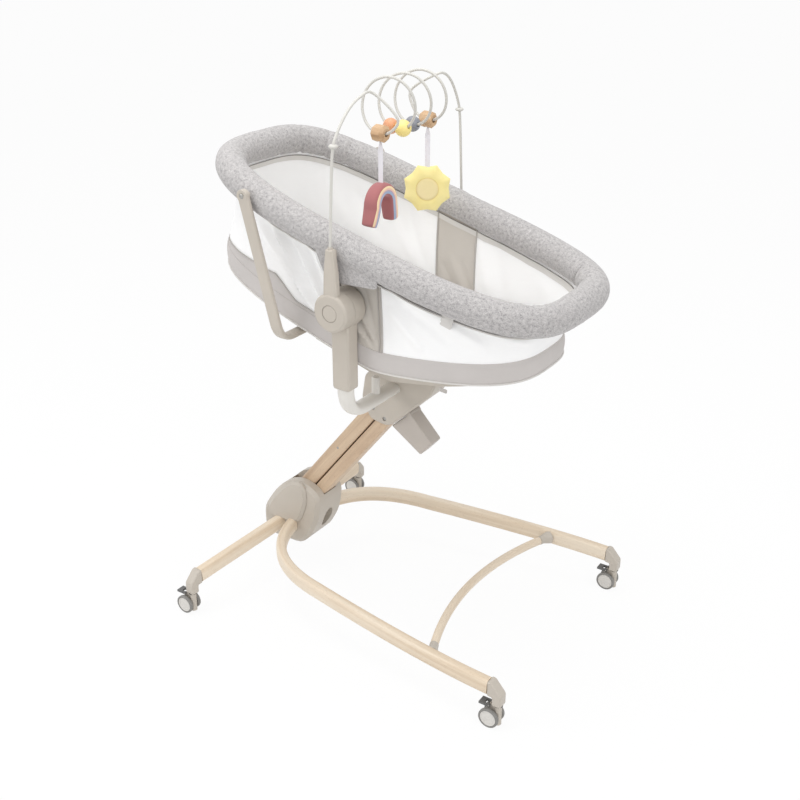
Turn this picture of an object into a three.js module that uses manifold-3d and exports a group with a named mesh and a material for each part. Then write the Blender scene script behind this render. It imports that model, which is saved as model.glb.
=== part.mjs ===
// Convertible bassinet on a wheeled wooden stand, in millimetres
// +Z is up, +X points to the foot end, and the plane Y = 0 is the plane of symmetry
import * as THREE from 'three';
import { mergeVertices } from 'three/addons/utils/BufferGeometryUtils.js';
import Module from 'manifold-3d';

const wasm = await Module();
wasm.setup();

// Clearances
const gap = 0.3;
const runGap = 0.6;
const swingGap = 1.2;
const overrun = 20;
const fineCut = 1;

// The arms' plane stands at X = 0, behind the middle of the whole length
const pivotBehindMiddle = 12.55;

// Castors
const wheelRadius = 22;
const wheelWidth = 8.5;
const wheelClear = 1;
const wheelBevel = 1.6;
const wheelFaceDepth = 1.5;
const tyreThickness = 5;
const castorTrail = 15;
const swivelRadius = 7.5;
const swivelClear = 1;
const swivelFoot = 6;
const kingPinRadius = 4;
const kingPinLength = 16;
const axleRadius = 3;
const forkThickness = 9;
const brakeLength = 22;
const brakeWidth = 20;
const brakeThickness = 4.5;
const brakeKnuckle = 3.5;
const brakeClear = 1;
const brakePinRadius = 1.6;

// Legs and their end caps
const legHeight = 35;
const legWidth = 24;
const legPower = 3.5;
const footStemReach = 710;
const footStemY = 289;
const headStemReach = 69;
const headStemY = 334;
const legAboveSwivel = 37;
const capLength = 32;
const capShoulder = 9;
const capStemWidth = 20;
const capRounding = 4;
const legEngage = 16;
const footLegRootReach = 5;
const footLegRootDrop = 12.5;
const headLegRootReach = 29;
const headLegRootDrop = 15.5;
// Shares of the stem's reach, of its distance from the middle and of the leg's fall
const footLegShares = [[0.038, 0.7232, 0.1], [0.3056, 0.8097, 0.4], [0.731, 0.9896, 0.8]];

// Cross bar between the long legs
const crossBarShare = 0.62;
const crossBarBow = 57;
const crossBarHeight = 20;
const crossBarWidth = 18;
const fittingLength = 24;
const fittingFlare = 7;

// Hub that holds the legs and the foot of the column, with corners about the lower pivot
const legRootClear = 5;
const hubCorners = [
  [-87, -49], [-87, 6], [-51, 60], [-16, 96], [27, 109], [62, 100],
  [88, 80], [84, 36], [74, 0], [48, -46], [22, -67], [-67, -67],
];
const hubRounding = 16;
const hubBevel = 9;
const cheekThickness = 8;
const cheekCorners = [
  [-68, -9], [-67, 22], [-39, 60], [-16, 86], [10, 106], [36, 110],
  [50, 98], [54, 70], [46, 36], [30, 2], [12, -8],
];
const cheekBevel = 6;
const hubButtonRadius = 12;
const hubButtonTravel = 4;
const hubButtonThickness = 14;
const hubButtonDrop = 3.5;
const wellReach = 75;
const wellRise = 2.5;
const wellHalfWidth = 17;
const wellHalfHeight = 27;
const wellDepth = 26;

// Column of two parallel bars
const columnHeadX = -23.27;
const columnFootRise = 43.5;
const columnLength = 425;
const columnAngle = 51.3;
const columnRise = 24;
const barGap = 3.2;
const linkAngle = 95;
const barThickness = 30;
const upperBarThickness = 35;
const barWidth = 46;
const barBevel = 3;
const pinRadius = 5;
const openPivotGap = 0.9;
const pinBite = 8;
const sweepSteps = 3;
const endSteps = 4;
const bevelSteps = 1;
const cornerSteps = 2;
const boreFacets = 6;
const cornerShare = 0.45;

// Head casting on top of the column, its lever, and the forked tube that carries the basket
const pinCover = 2;
const headCorners = [
  [-62, 35], [-39, -10], [2, -17], [24, -7], [64, 32], [117, 81],
  [130, 109], [124, 135], [-7, 135], [-52, 95],
];
const headRounding = 9;
const headBevel = 4;
const forkTubeHalfX = 19;
const forkTubeHalfZ = 13;
const forkAboveHead = 81.82;
const forkBend = 62;
const postY = 98;
const postRadius = 9;
const postHeight = 51;
const leverShare = 0.757;
const leverDrop = 3.7;
const leverKnuckle = 8;
const leverCorners = [[5, 5], [62, -56], [32, -90], [-44, -38]];
const leverWidth = 40;

// Arms, pivots and the brackets that turn with the basket
const pivotAboveFork = 238;
const armEndWall = 1.7;
const armSideWall = 3.7;
const coverAboveBend = 2;
const tubeInCover = 79;
const armBevel = 3;
const discRadius = 40;
const discDepth = 31;
const discBevel = 5;
const axlePinRadius = 9;
const axlePinLength = 22;
const tiltButtonRadius = 17;
const tiltButtonDepth = 8;
const tiltButtonTravel = 4;
const discProud = 2;
const socketAboveRim = 5.4;
const socketWall = 4;
const neckFootWidth = 34;
const neckWaistWidth = 29;
const neckTopWidth = 17;
const neckDepth = 15.5;
const neckWaistShare = 0.565;
const lugWidth = 15;
const lugHeight = 13;
const lugDrop = 4;
const socketDepth = 34;

// Rim of the basket: a tube ring in a padded sleeve
const rimMiddleX = 19;
const rimAbovePivot = 117;
const rimSlope = -0.293;
const rimEndRise = 12;
const rimHalfLength = 384;
const rimHalfWidth = 205;
const rimPower = 3.5;
const rimTubeRadius = 11;
const sleeveRadius = 31.5;
const sleeveBore = 17;
const flapAboveDisc = 16.6;
const flapThickness = 4;
const flapStandOff = 17.5;
const flapRearX = -46;
const flapFrontX = 94;
const flapFootWidthShare = 0.62;

// Base of the basket: level at the foot half, rising to the head end
const baseMiddleX = -27;
const baseHalfLength = 380;
const armClear = 1.5;
const basePower = 3.1;
const baseKneeX = 50;
const trayAboveHead = 17.52;
const baseHeadSlope = 0.327;
const baseFootSlope = 0.05;
const kneeSoftness = 15;
const bandHeight = 44;
const bandThickness = 4;
const bandBulge = 2.5;
const wallThickness = 2.5;
const wallDrawIn = 4;
const hemOutside = 2;
const gussetRearX = -24;
const gussetFrontX = 74;
const floorThickness = 8;
const floorLift = 3;
const trayRearX = -118;
const trayFrontX = 262;
const trayHalfWidth = 163;
const trayDrop = 27;
const trayTaperX = 70;
const trayWall = 5;
const mattressThickness = 38;
const mattressCrown = 8;
const mattressInset = 9;
const mattressBulge = 4;
const mattressShoulder = 36;
const mattressTop = 81;

// Stirrup under the head end
const stirrupPivotRise = 8;
const stirrupLean = 75;
const stirrupBehindTray = 10;
const stirrupUnderBase = 4.46;
const stirrupOffSleeve = 5.75;
const stirrupWidth = 26;
const stirrupDepth = 12;
const stirrupBend = 34;
const stirrupPinRadius = 5;

// Toy bar
const wireRadius = 2.8;
const wireLean = 17.5;
const wireRise = 190;
const shoulderShares = [[0, 0], [0.08, 0.22], [0.25, 0.53], [0.47, 0.8], [0.72, 0.96], [1, 1]];
const nearCrestReach = 30;
const nearCrestRise = 80;
const farCrestReach = 40;
const farCrestRise = 85;
const loopRadius = 52;
const loopRise = 49;
const loopFirstY = -74;
const loopPitch = 58;
const loopCount = 4;
const firstPhaseShare = 0.62;
const stopperRadius = 9;
const stopperHeight = 7;

// Beads and soft toys
const woodBeadLength = 33;
const woodBeadRadius = 17;
const smallBallRadius = 16;
const largeBallRadius = 17;
const beadClear = 1.1;
const ribbonWidth = 11;
const ribbonThickness = 1.6;
const knotRadius = 2;
const knotBridge = 0.7;
const toySwing = 30;
const archRibbonLength = 85.8;
const archHalfWidth = 30;
const archTube = 14;
const archDepth = 17;
const archLeg = 36;
const archSplay = 5;
const archTaperShare = 0.25;
const archTaperPower = 6;
const archPower = 2.4;
const starDrop = 134.8;
const starRadius = 50;
const starPointDepth = 10;
const starPoints = 8;
const starThickness = 13;
const starTurn = 33;
const starRingShares = [[0.35, 1], [0.8, 0.8], [1, 0]];

// Facet counts
const wheelFacets = 18;
const legFacets = 10;
const legSteps = 10;
const forkSteps = 5;
const stirrupSteps = 4;
const discFacets = 20;
const mattressSteps = 28;
const traySegments = 14;
const roundPower = 2;
const middleShare = 0.5;
const mattressSideShares = [0.3, 0.7];
const ringSteps = 40;
const sleeveFacets = 10;
const tubeFacets = 8;
const roundFacets = 16;
const pinFacets = 12;
const wireFacets = 6;
const loopSteps = 24;
const wireSteps = 112;
const ballSteps = 6;
const woodBeadFacets = 8;
const archSteps = 8;

// Finishes
function finish(colour, roughness, metalness) {
  return new THREE.MeshStandardMaterial({ color: colour, roughness, metalness });
}
const plastic = finish(0xc4bcb2, 0.55, 0);
const paleMetal = finish(0xcdcbc6, 0.45, 0.1);
const beech = finish(0xdec8aa, 0.6, 0);
const wheelDisc = finish(0xc8c5be, 0.5, 0);
const brakeGrey = finish(0x5f5f5f, 0.6, 0);
const steel = finish(0x9a9a9a, 0.35, 0.9);
const heather = finish(0xc8c3c5, 0.95, 0);
const mesh = finish(0xf0f0f0, 0.9, 0);
const bandGrey = finish(0xbeb9b4, 0.9, 0);
const board = finish(0xb9b4ae, 0.7, 0);
const white = finish(0xf2f1ee, 0.9, 0);
const wireGrey = finish(0xd0cdc6, 0.5, 0);
const beadWood = finish(0xc8a57d, 0.6, 0);
const orange = finish(0xe19b6e, 0.5, 0);
const yellow = finish(0xf5e18c, 0.5, 0);
const slate = finish(0x82848c, 0.5, 0);
const rose = finish(0xb9737d, 0.95, 0);
const sun = finish(0xf0de82, 0.95, 0);

const bassinet = new THREE.Group();

// Booleans on closed geometry
function toSolid(geometry) {
  const bare = geometry.clone();
  bare.deleteAttribute('normal');
  bare.deleteAttribute('uv');
  const merged = mergeVertices(bare);
  const vertProperties = new Float32Array(merged.attributes.position.array);
  const triVerts = new Uint32Array(merged.index.array);
  return new wasm.Manifold(new wasm.Mesh({ numProp: 3, vertProperties, triVerts }));
}

function fromSolid(solid) {
  const result = solid.getMesh();
  const geometry = new THREE.BufferGeometry();
  const position = new THREE.BufferAttribute(new Float32Array(result.vertProperties), 3);
  geometry.setAttribute('position', position);
  geometry.setIndex(new THREE.BufferAttribute(new Uint32Array(result.triVerts), 1));
  return geometry;
}

function cut(geometry, ...cutters) {
  let solid = toSolid(geometry);
  for (const cutter of cutters) solid = solid.subtract(toSolid(cutter));
  return fromSolid(solid);
}

function join(geometry, ...others) {
  let solid = toSolid(geometry);
  for (const other of others) solid = solid.add(toSolid(other));
  return fromSolid(solid);
}

function keepInside(geometry, region) {
  return fromSolid(toSolid(geometry).intersect(toSolid(region)));
}

function addPart(name, geometry, material) {
  const part = new THREE.Mesh(geometry, material);
  part.name = name;
  bassinet.add(part);
  return part;
}

// Mirror a geometry across the plane of symmetry, with its faces still pointing out
function mirrored(geometry) {
  const copy = geometry.clone();
  const position = copy.attributes.position;
  for (let i = 0; i < position.count; i += 1) position.setY(i, -position.getY(i));
  if (!copy.index) {
    copy.setIndex([...Array(position.count).keys()]);
  }
  const index = copy.index.array;
  for (let i = 0; i < index.length; i += 3) {
    const first = index[i];
    index[i] = index[i + 1];
    index[i + 1] = first;
  }
  return copy;
}

function addPair(name, geometry, material) {
  addPart(`${name}_near`, mirrored(geometry), material);
  addPart(`${name}_far`, geometry, material);
}

// A closed skin through rings of points that all have the same even count
function skin(rings, closedLoop) {
  const count = rings[0].length;
  const positions = rings.flat().flatMap((point) => [point.x, point.y, point.z]);
  const index = [];
  const quad = (a, b, c, d) => index.push(a, b, c, a, c, d);
  const spans = closedLoop ? rings.length : rings.length - 1;
  for (let i = 0; i < spans; i += 1) {
    const here = i * count;
    const next = ((i + 1) % rings.length) * count;
    for (let k = 0; k < count; k += 1) {
      const after = (k + 1) % count;
      quad(here + k, here + after, next + after, next + k);
    }
  }
  if (!closedLoop) {
    const last = (rings.length - 1) * count;
    for (let k = 0; k < count / 2 - 1; k += 1) {
      quad(k + 1, k, count - 1 - k, count - 2 - k);
      quad(last + k, last + k + 1, last + count - 2 - k, last + count - 1 - k);
    }
  }
  let volume = 0;
  const corner = (i) => new THREE.Vector3().fromArray(positions, 3 * index[i]);
  for (let i = 0; i < index.length; i += 3) {
    volume += corner(i).dot(corner(i + 1).cross(corner(i + 2)));
  }
  if (volume < 0) index.reverse();
  const geometry = new THREE.BufferGeometry();
  geometry.setAttribute('position', new THREE.Float32BufferAttribute(positions, 3));
  geometry.setIndex(index);
  return geometry;
}

// Points of a rounded section: power 2 is an ellipse and a higher power is squarer
function ovalSection(halfA, halfB, power, count) {
  const points = [];
  for (let k = 0; k < count; k += 1) {
    const angle = (2 * Math.PI * (k + 0.5)) / count;
    const c = Math.cos(angle);
    const s = Math.sin(angle);
    const a = halfA * Math.sign(c) * Math.abs(c) ** (2 / power);
    const b = halfB * Math.sign(s) * Math.abs(s) ** (2 / power);
    points.push([a, b]);
  }
  return points;
}

// Sweep a section along points: its first axis leans to the side vector
function sweep(points, section, side, closedLoop = false) {
  const rings = points.map((point, i) => {
    const count = points.length;
    const before = points[closedLoop ? (i + count - 1) % count : Math.max(i - 1, 0)];
    const after = points[closedLoop ? (i + 1) % count : Math.min(i + 1, count - 1)];
    const tangent = after.clone().sub(before).normalize();
    const across = side.clone().addScaledVector(tangent, -side.dot(tangent)).normalize();
    const upward = tangent.clone().cross(across);
    return section.map(([a, b]) => point.clone().addScaledVector(across, a).addScaledVector(upward, b));
  });
  return skin(rings, closedLoop);
}

const sideX = new THREE.Vector3(1, 0, 0);
const sideY = new THREE.Vector3(0, 1, 0);
const sideZ = new THREE.Vector3(0, 0, 1);

// A flat outline in the XZ plane with rounded corners
function roundedOutline(corners, radius) {
  const points = corners.map(([x, z]) => new THREE.Vector2(x, z));
  const shape = new THREE.Shape();
  points.forEach((corner, i) => {
    const before = points[(i + points.length - 1) % points.length];
    const after = points[(i + 1) % points.length];
    const limit = cornerShare * Math.min(corner.distanceTo(before), corner.distanceTo(after));
    const reach = Math.min(radius, limit);
    const start = corner.clone().add(before.clone().sub(corner).setLength(reach));
    const end = corner.clone().add(after.clone().sub(corner).setLength(reach));
    if (i === 0) shape.moveTo(start.x, start.y);
    else shape.lineTo(start.x, start.y);
    shape.quadraticCurveTo(corner.x, corner.y, end.x, end.y);
  });
  shape.closePath();
  return shape;
}

// Extrude an XZ outline along Y between two places, with bevelled edges
function slabY(shape, fromY, toY, bevel = 0, curveSegments = cornerSteps) {
  const geometry = new THREE.ExtrudeGeometry(shape, {
    depth: toY - fromY - 2 * bevel,
    bevelEnabled: bevel > 0,
    bevelThickness: bevel,
    bevelSize: bevel,
    bevelOffset: -bevel,
    bevelSegments: bevelSteps,
    curveSegments,
  });
  geometry.translate(0, 0, bevel);
  geometry.rotateX(Math.PI / 2);
  geometry.translate(0, toY, 0);
  return geometry;
}

function boxBetween(low, high) {
  const size = high.clone().sub(low);
  const box = new THREE.BoxGeometry(size.x, size.y, size.z);
  const middle = low.clone().add(high).multiplyScalar(0.5);
  return box.translate(middle.x, middle.y, middle.z);
}

function rodY(radius, fromY, toY, x, z, facets = roundFacets) {
  const rod = new THREE.CylinderGeometry(radius, radius, toY - fromY, facets);
  return rod.translate(x, (fromY + toY) / 2, z);
}

function rodZ(radius, fromZ, toZ, x, y, facets = roundFacets) {
  const rod = new THREE.CylinderGeometry(radius, radius, toZ - fromZ, facets);
  return rod.rotateX(Math.PI / 2).translate(x, y, (fromZ + toZ) / 2);
}

function stadium(fromX, fromZ, toX, toZ, radius) {
  const angle = Math.atan2(toZ - fromZ, toX - fromX);
  const shape = new THREE.Shape();
  shape.absarc(toX, toZ, radius, angle - Math.PI / 2, angle + Math.PI / 2, false);
  shape.absarc(fromX, fromZ, radius, angle + Math.PI / 2, angle + 1.5 * Math.PI, false);
  shape.closePath();
  return shape;
}

const degrees = (value) => THREE.MathUtils.degToRad(value);

// Places in the stand, up from the floor and from the column's foot to both ends
const wheelGap = 2 * (swivelRadius + wheelClear);
const wheelFaceRadius = wheelRadius - tyreThickness;
const knuckleZ = 2 * wheelRadius + brakeClear + brakeKnuckle;
const swivelTop = knuckleZ + brakeKnuckle + swivelClear;
const legEndHeight = swivelTop + legAboveSwivel;
const rise = degrees(columnAngle);
const columnFootX = columnHeadX - columnLength * Math.cos(rise);
const columnFootZ = legEndHeight + columnFootRise;
const columnHeadZ = columnFootZ + columnLength * Math.sin(rise);
const footStemX = columnFootX + footStemReach;
const headStemX = columnFootX - headStemReach;
const hubRear = columnFootX + hubCorners[0][0];
const pinHalf = barWidth / 2 + pinBite;
const legRootY = pinHalf + legRootClear;
const hubHalfWidth = legRootY + legEngage;
const cheekHalfWidth = hubHalfWidth + cheekThickness;
const hubButtonZ = columnFootZ - hubButtonDrop;
const headHalfWidth = pinHalf + pinCover;

// Heights of the head, the fork and the basket, up from the column's head
const headTop = columnHeadZ + Math.max(...headCorners.map(([, z]) => z));
const [chinX, chinZ] = headCorners[3];
const [browX, browZ] = headCorners[4];
const leverPivotX = columnHeadX + chinX + (browX - chinX) * leverShare;
const leverPivotZ = columnHeadZ + chinZ + (browZ - chinZ) * leverShare - leverDrop;
const forkZ = columnHeadZ + forkAboveHead;
const armCoverFoot = forkZ + forkBend + coverAboveBend;
const armTubeTop = armCoverFoot + tubeInCover;
const pivotHeight = forkZ + pivotAboveFork;
const rimMiddleZ = pivotHeight + rimAbovePivot;
const baseKneeZ = headTop + trayAboveHead + trayDrop + trayWall + gap;

// Widths, in from the sleeve over the bracket and the arm to the base
const neckInner = rimHalfWidth + sleeveRadius + gap;
const neckOuter = neckInner + neckDepth;
const wireFootY = neckOuter - socketWall - wireRadius;
const discOuter = neckOuter + discProud;
const discInner = discOuter - discDepth;
const armOuter = discInner - gap;
const armWidth = 2 * (forkTubeHalfX + gap + armEndWall);
const armDepth = 2 * (forkTubeHalfZ + gap + armSideWall);
const armInner = armOuter - armDepth;
const armRounding = 2 * armBevel;
const wallInset = rimHalfWidth - armInner - hemOutside;
const baseHalfWidth = armInner - armClear - bandBulge;

// Heights of the basket along its length
function rimHeight(x) {
  const along = x - rimMiddleX;
  return rimMiddleZ + rimSlope * along + rimEndRise * (along / rimHalfLength) ** 2;
}

function baseHeight(x) {
  const beyond = (x - baseKneeX) / kneeSoftness;
  const headRise = baseHeadSlope * Math.log1p(Math.exp(-beyond));
  const footRise = baseFootSlope * Math.log1p(Math.exp(beyond));
  return baseKneeZ + kneeSoftness * (headRise + footRise);
}

// Closed oval in plan, read off at equal steps so that each point has its mirror image
class Oval extends THREE.Curve {
  constructor(middleX, halfLength, halfWidth, power) {
    super();
    this.arcLengthDivisions = 720;
    Object.assign(this, { middleX, halfLength, halfWidth, power });
  }

  getPoint(t, target = new THREE.Vector3()) {
    const c = Math.cos(2 * Math.PI * t);
    const s = Math.sin(2 * Math.PI * t);
    const x = this.middleX + this.halfLength * Math.sign(c) * Math.abs(c) ** (2 / this.power);
    const y = this.halfWidth * Math.sign(s) * Math.abs(s) ** (2 / this.power);
    return target.set(x, y, 0);
  }

  halfWidthAt(x) {
    const share = Math.abs(x - this.middleX) / this.halfLength;
    return this.halfWidth * (1 - share ** this.power) ** (1 / this.power);
  }

  ring(count) {
    return [...Array(count).keys()].map((k) => this.getPointAt((k + 0.5) / count));
  }
}

const rimOval = new Oval(rimMiddleX, rimHalfLength, rimHalfWidth, rimPower);

const socketTop = rimHeight(0) + socketAboveRim;

function baseOval(inset) {
  return new Oval(baseMiddleX, baseHalfLength - inset, baseHalfWidth - inset, basePower);
}

const baseRing = (inset, count = ringSteps) => baseOval(inset).ring(count);

const lifted = (ring, height) => ring.map((point) => point.clone().setZ(height(point.x)));

// Castors: a swivelling body, twin wheels on one axle and a brake pedal
function castorBody() {
  const stem = rodZ(swivelRadius, swivelFoot, swivelTop, castorTrail, 0, legFacets);
  const pinTop = swivelTop + kingPinLength;
  const kingPin = rodZ(kingPinRadius, swivelTop - gap, pinTop, castorTrail, 0, tubeFacets);
  const web = roundedOutline([
    [castorTrail, swivelFoot],
    [-wheelRadius / 2, wheelRadius / 2],
    [-wheelRadius / 2, wheelRadius],
    [-axleRadius - brakeKnuckle, knuckleZ - brakeKnuckle],
    [axleRadius, knuckleZ + brakeKnuckle],
    [castorTrail, swivelTop],
  ], axleRadius);
  const plate = slabY(web, -forkThickness / 2, forkThickness / 2);
  const axleHole = rodY(axleRadius + gap, -overrun, overrun, 0, wheelRadius);
  const pinEnd = (forkThickness + brakeWidth / 2) / 2;
  const pedalPin = rodY(brakePinRadius, -pinEnd, pinEnd, -axleRadius, knuckleZ, tubeFacets);
  return cut(join(stem, kingPin, plate, pedalPin), axleHole);
}

// A wheel rests on a flat facet: its corners stand a little outside its radius
function twinWheels() {
  const inner = wheelGap / 2;
  const outer = inner + wheelWidth;
  const corner = wheelRadius / Math.cos(Math.PI / wheelFacets);
  const profile = [
    [0, inner],
    [corner, inner],
    [corner, outer - wheelBevel],
    [corner - wheelBevel, outer],
    [wheelFaceRadius, outer],
    [wheelFaceRadius - wheelFaceDepth, outer - wheelFaceDepth],
    [0, outer - wheelFaceDepth],
  ].map(([radius, y]) => new THREE.Vector2(radius, y));
  const wheel = new THREE.LatheGeometry(profile, wheelFacets).rotateY(Math.PI / wheelFacets);
  const axle = rodY(axleRadius, -inner - fineCut, inner + fineCut, 0, 0, tubeFacets);
  return join(wheel, mirrored(wheel), axle).translate(0, 0, wheelRadius);
}

function brakePedal() {
  const half = brakeWidth / 2;
  const knuckle = rodY(brakeKnuckle, -half, half, -axleRadius, knuckleZ, tubeFacets);
  const paddle = boxBetween(
    new THREE.Vector3(-axleRadius - brakeLength, -half, knuckleZ - brakeThickness / 2),
    new THREE.Vector3(-axleRadius, half, knuckleZ + brakeThickness / 2),
  );
  const forkSlot = boxBetween(
    new THREE.Vector3(-axleRadius - 3 * brakeKnuckle, -forkThickness / 2 - gap, knuckleZ - overrun),
    new THREE.Vector3(overrun, forkThickness / 2 + gap, knuckleZ + overrun),
  );
  const holeEnd = half + fineCut;
  const pinHole = rodY(brakePinRadius + gap, -holeEnd, holeEnd, -axleRadius, knuckleZ, tubeFacets);
  return cut(join(knuckle, paddle), forkSlot, pinHole);
}

function addCastor(name, x, y) {
  const pieces = [
    ['castor_body', castorBody(), plastic],
    ['castor_wheels', twinWheels(), wheelDisc],
    ['castor_brake', brakePedal(), brakeGrey],
  ];
  for (const [piece, geometry, material] of pieces) {
    addPart(`${piece}_${name}`, geometry, material).position.set(x - castorTrail, y, 0);
  }
}

addCastor('head_near', headStemX, -headStemY);
addCastor('head_far', headStemX, headStemY);
addCastor('foot_near', footStemX, -footStemY);
addCastor('foot_far', footStemX, footStemY);

// Legs on the far side: a bent one to the foot end and a straight one to the head end
const footLegRoot = new THREE.Vector3(
  columnFootX + footLegRootReach,
  legRootY,
  columnFootZ - footLegRootDrop,
);
const headLegRoot = new THREE.Vector3(
  columnFootX - headLegRootReach,
  legRootY,
  columnFootZ - headLegRootDrop,
);
const footLegPlaces = footLegShares.map(([reach, side, fall]) => new THREE.Vector3(
  columnFootX + footStemReach * reach,
  footStemY * side,
  footLegRoot.z + (legEndHeight - footLegRoot.z) * fall,
));
const [footLegElbow, footLegJoint, footLegShoulder] = footLegPlaces;

function capStart(stemX, stemY, from) {
  const reach = new THREE.Vector2(stemX - from.x, stemY - from.y);
  const inward = reach.clone().setLength(capLength - capStemWidth / 2);
  return new THREE.Vector3(stemX - inward.x, stemY - inward.y, legEndHeight);
}

const footLegCap = capStart(footStemX, footStemY, footLegShoulder);
const headLegCap = capStart(headStemX, headStemY, headLegRoot);

function footLegCurves() {
  return [
    new THREE.QuadraticBezierCurve3(footLegRoot, footLegElbow, footLegJoint),
    new THREE.QuadraticBezierCurve3(footLegJoint, footLegShoulder, footLegCap),
  ];
}

function footLegPoints() {
  const [bend, bow] = footLegCurves();
  return [...bend.getPoints(legSteps), ...bow.getPoints(legSteps / 2).slice(1)];
}

const headLegPoints = () => [headLegRoot, headLegCap];

// The section stands upright: its first axis is the leg's height
function legBody(points, grow) {
  const section = ovalSection(legHeight / 2 + grow, legWidth / 2 + grow, legPower, legFacets);
  return sweep(points, section, sideZ);
}

// Clear each leg's end face so that it stands square to its cap
function squareEnd(leg, end, along) {
  const face = boxBetween(
    new THREE.Vector3(-gap, -legHeight, -legHeight),
    new THREE.Vector3(overrun, legHeight, legHeight),
  );
  face.rotateZ(Math.atan2(along.y, along.x)).translate(end.x, end.y, end.z);
  return cut(leg, face);
}

function legSocket(points) {
  const extended = points.map((point) => point.clone());
  const inward = extended[0].clone().sub(extended[1]).setLength(gap);
  extended[0].add(inward);
  return legBody(extended, gap);
}

function legCap(from, stemX, stemY, z) {
  const half = legHeight / 2;
  const outline = roundedOutline([
    [0, half],
    [capShoulder, half],
    [capLength, -half / 2],
    [capLength, swivelTop + gap - z],
    [capLength - capStemWidth, swivelTop + gap - z],
    [capLength - capStemWidth, -half],
    [0, -half],
  ], capRounding);
  const body = slabY(outline, -legWidth / 2, legWidth / 2, capRounding / 2);
  const angle = Math.atan2(stemY - from.y, stemX - from.x);
  body.rotateZ(angle).translate(from.x, from.y, z);
  const holeTop = swivelTop + kingPinLength + gap;
  const pinHole = rodZ(kingPinRadius + gap, swivelTop - overrun, holeTop, stemX, stemY, legFacets);
  return cut(body, pinHole);
}

const footAlong = new THREE.Vector2(footStemX - footLegShoulder.x, footStemY - footLegShoulder.y);
const headAlong = new THREE.Vector2(headStemX - headLegRoot.x, headStemY - headLegRoot.y);
addPair('leg_foot', squareEnd(legBody(footLegPoints(), 0), footLegCap, footAlong), beech);
addPair('leg_head', squareEnd(legBody(headLegPoints(), 0), headLegCap, headAlong), beech);
addPair('leg_cap_foot', legCap(footLegCap, footStemX, footStemY, legEndHeight), plastic);
addPair('leg_cap_head', legCap(headLegCap, headStemX, headStemY, legEndHeight), plastic);

// Cross bar, bowed to the head end, in two flared fittings on the long legs
const crossBarLeg = footLegCurves()[1].getPoint(crossBarShare);
const crossBarX = crossBarLeg.x;
const crossBarLegY = crossBarLeg.y;
const crossBarZ = crossBarLeg.z;
const legInnerY = crossBarLegY - legWidth / 2 - gap;
const crossBarCurve = new THREE.QuadraticBezierCurve3(
  new THREE.Vector3(crossBarX, -legInnerY, crossBarZ),
  new THREE.Vector3(crossBarX - 2 * crossBarBow, 0, crossBarZ),
  new THREE.Vector3(crossBarX, legInnerY, crossBarZ),
);
const fittingEndShare = 1 - fittingLength / (2 * legInnerY);

function crossBar() {
  const points = [];
  for (let i = 0; i <= legSteps; i += 1) {
    const share = 1 - fittingEndShare + ((2 * fittingEndShare - 1) * i) / legSteps;
    points.push(crossBarCurve.getPoint(share));
  }
  return sweep(points, ovalSection(crossBarHeight / 2, crossBarWidth / 2, roundPower, legFacets), sideZ);
}

function crossBarFitting() {
  const start = crossBarCurve.getPoint(fittingEndShare);
  const end = crossBarCurve.getPoint(1);
  const along = end.clone().sub(start).normalize();
  const across = along.clone().cross(sideZ);
  const places = [runGap, fittingLength / 2, fittingLength + fittingFlare].map((distance) => (
    start.clone().addScaledVector(along, distance)));
  const rings = places.map((point, i) => {
    const grow = i === 2 ? fittingFlare : fineCut;
    const halfHeight = crossBarHeight / 2 + grow;
    const section = ovalSection(halfHeight, crossBarWidth / 2 + grow, roundPower, legFacets);
    return section.map(([a, b]) => (
      point.clone().addScaledVector(sideZ, a).addScaledVector(across, b)));
  });
  const leg = legBody(footLegPoints(), gap);
  const fittingReach = fittingLength + legHeight + overrun;
  const pastLeg = boxBetween(
    new THREE.Vector3(crossBarX - fittingReach, crossBarLegY, crossBarZ - fittingReach),
    new THREE.Vector3(crossBarX + fittingReach, crossBarLegY + fittingReach, crossBarZ + fittingReach),
  );
  return cut(skin(rings, false), leg, pastLeg);
}

addPart('cross_bar', crossBar(), beech);
addPair('cross_bar_fitting', crossBarFitting(), plastic);

// Column pivots: the line through a pair of them stays nearly square to the bars as the column rises
const linkSpacing = (barThickness + upperBarThickness) / 2 + barGap;
const linkX = linkSpacing * Math.cos(rise + degrees(linkAngle));
const linkZ = linkSpacing * Math.sin(rise + degrees(linkAngle));
const footPivots = [[columnFootX, columnFootZ], [columnFootX + linkX, columnFootZ + linkZ]];
const headPivots = [[columnHeadX, columnHeadZ], [columnHeadX + linkX, columnHeadZ + linkZ]];
const barThicknesses = [barThickness, upperBarThickness];
const topHoles = [pinRadius + openPivotGap, pinRadius + gap];

const pinHoles = (pivots, half) => pivots.map(([x, z]) => (
  rodY(pinRadius + gap, -half, half, x, z, legFacets)));

['lower', 'upper'].forEach((name, i) => {
  const [footX, footZ] = footPivots[i];
  const [headX, headZ] = headPivots[i];
  const shape = stadium(footX, footZ, headX, headZ, barThicknesses[i] / 2);
  const body = slabY(shape, -barWidth / 2, barWidth / 2, barBevel, endSteps);
  const footHole = rodY(pinRadius + gap, -barWidth, barWidth, footX, footZ);
  const headHole = rodY(topHoles[i], -barWidth, barWidth, headX, headZ);
  addPart(`column_bar_${name}`, cut(body, footHole, headHole), beech);
  addPart(`column_pin_foot_${name}`, rodY(pinRadius, -pinHalf, pinHalf, footX, footZ, pinFacets), steel);
  addPart(`column_pin_head_${name}`, rodY(pinRadius, -pinHalf, pinHalf, headX, headZ, pinFacets), steel);
});

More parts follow.
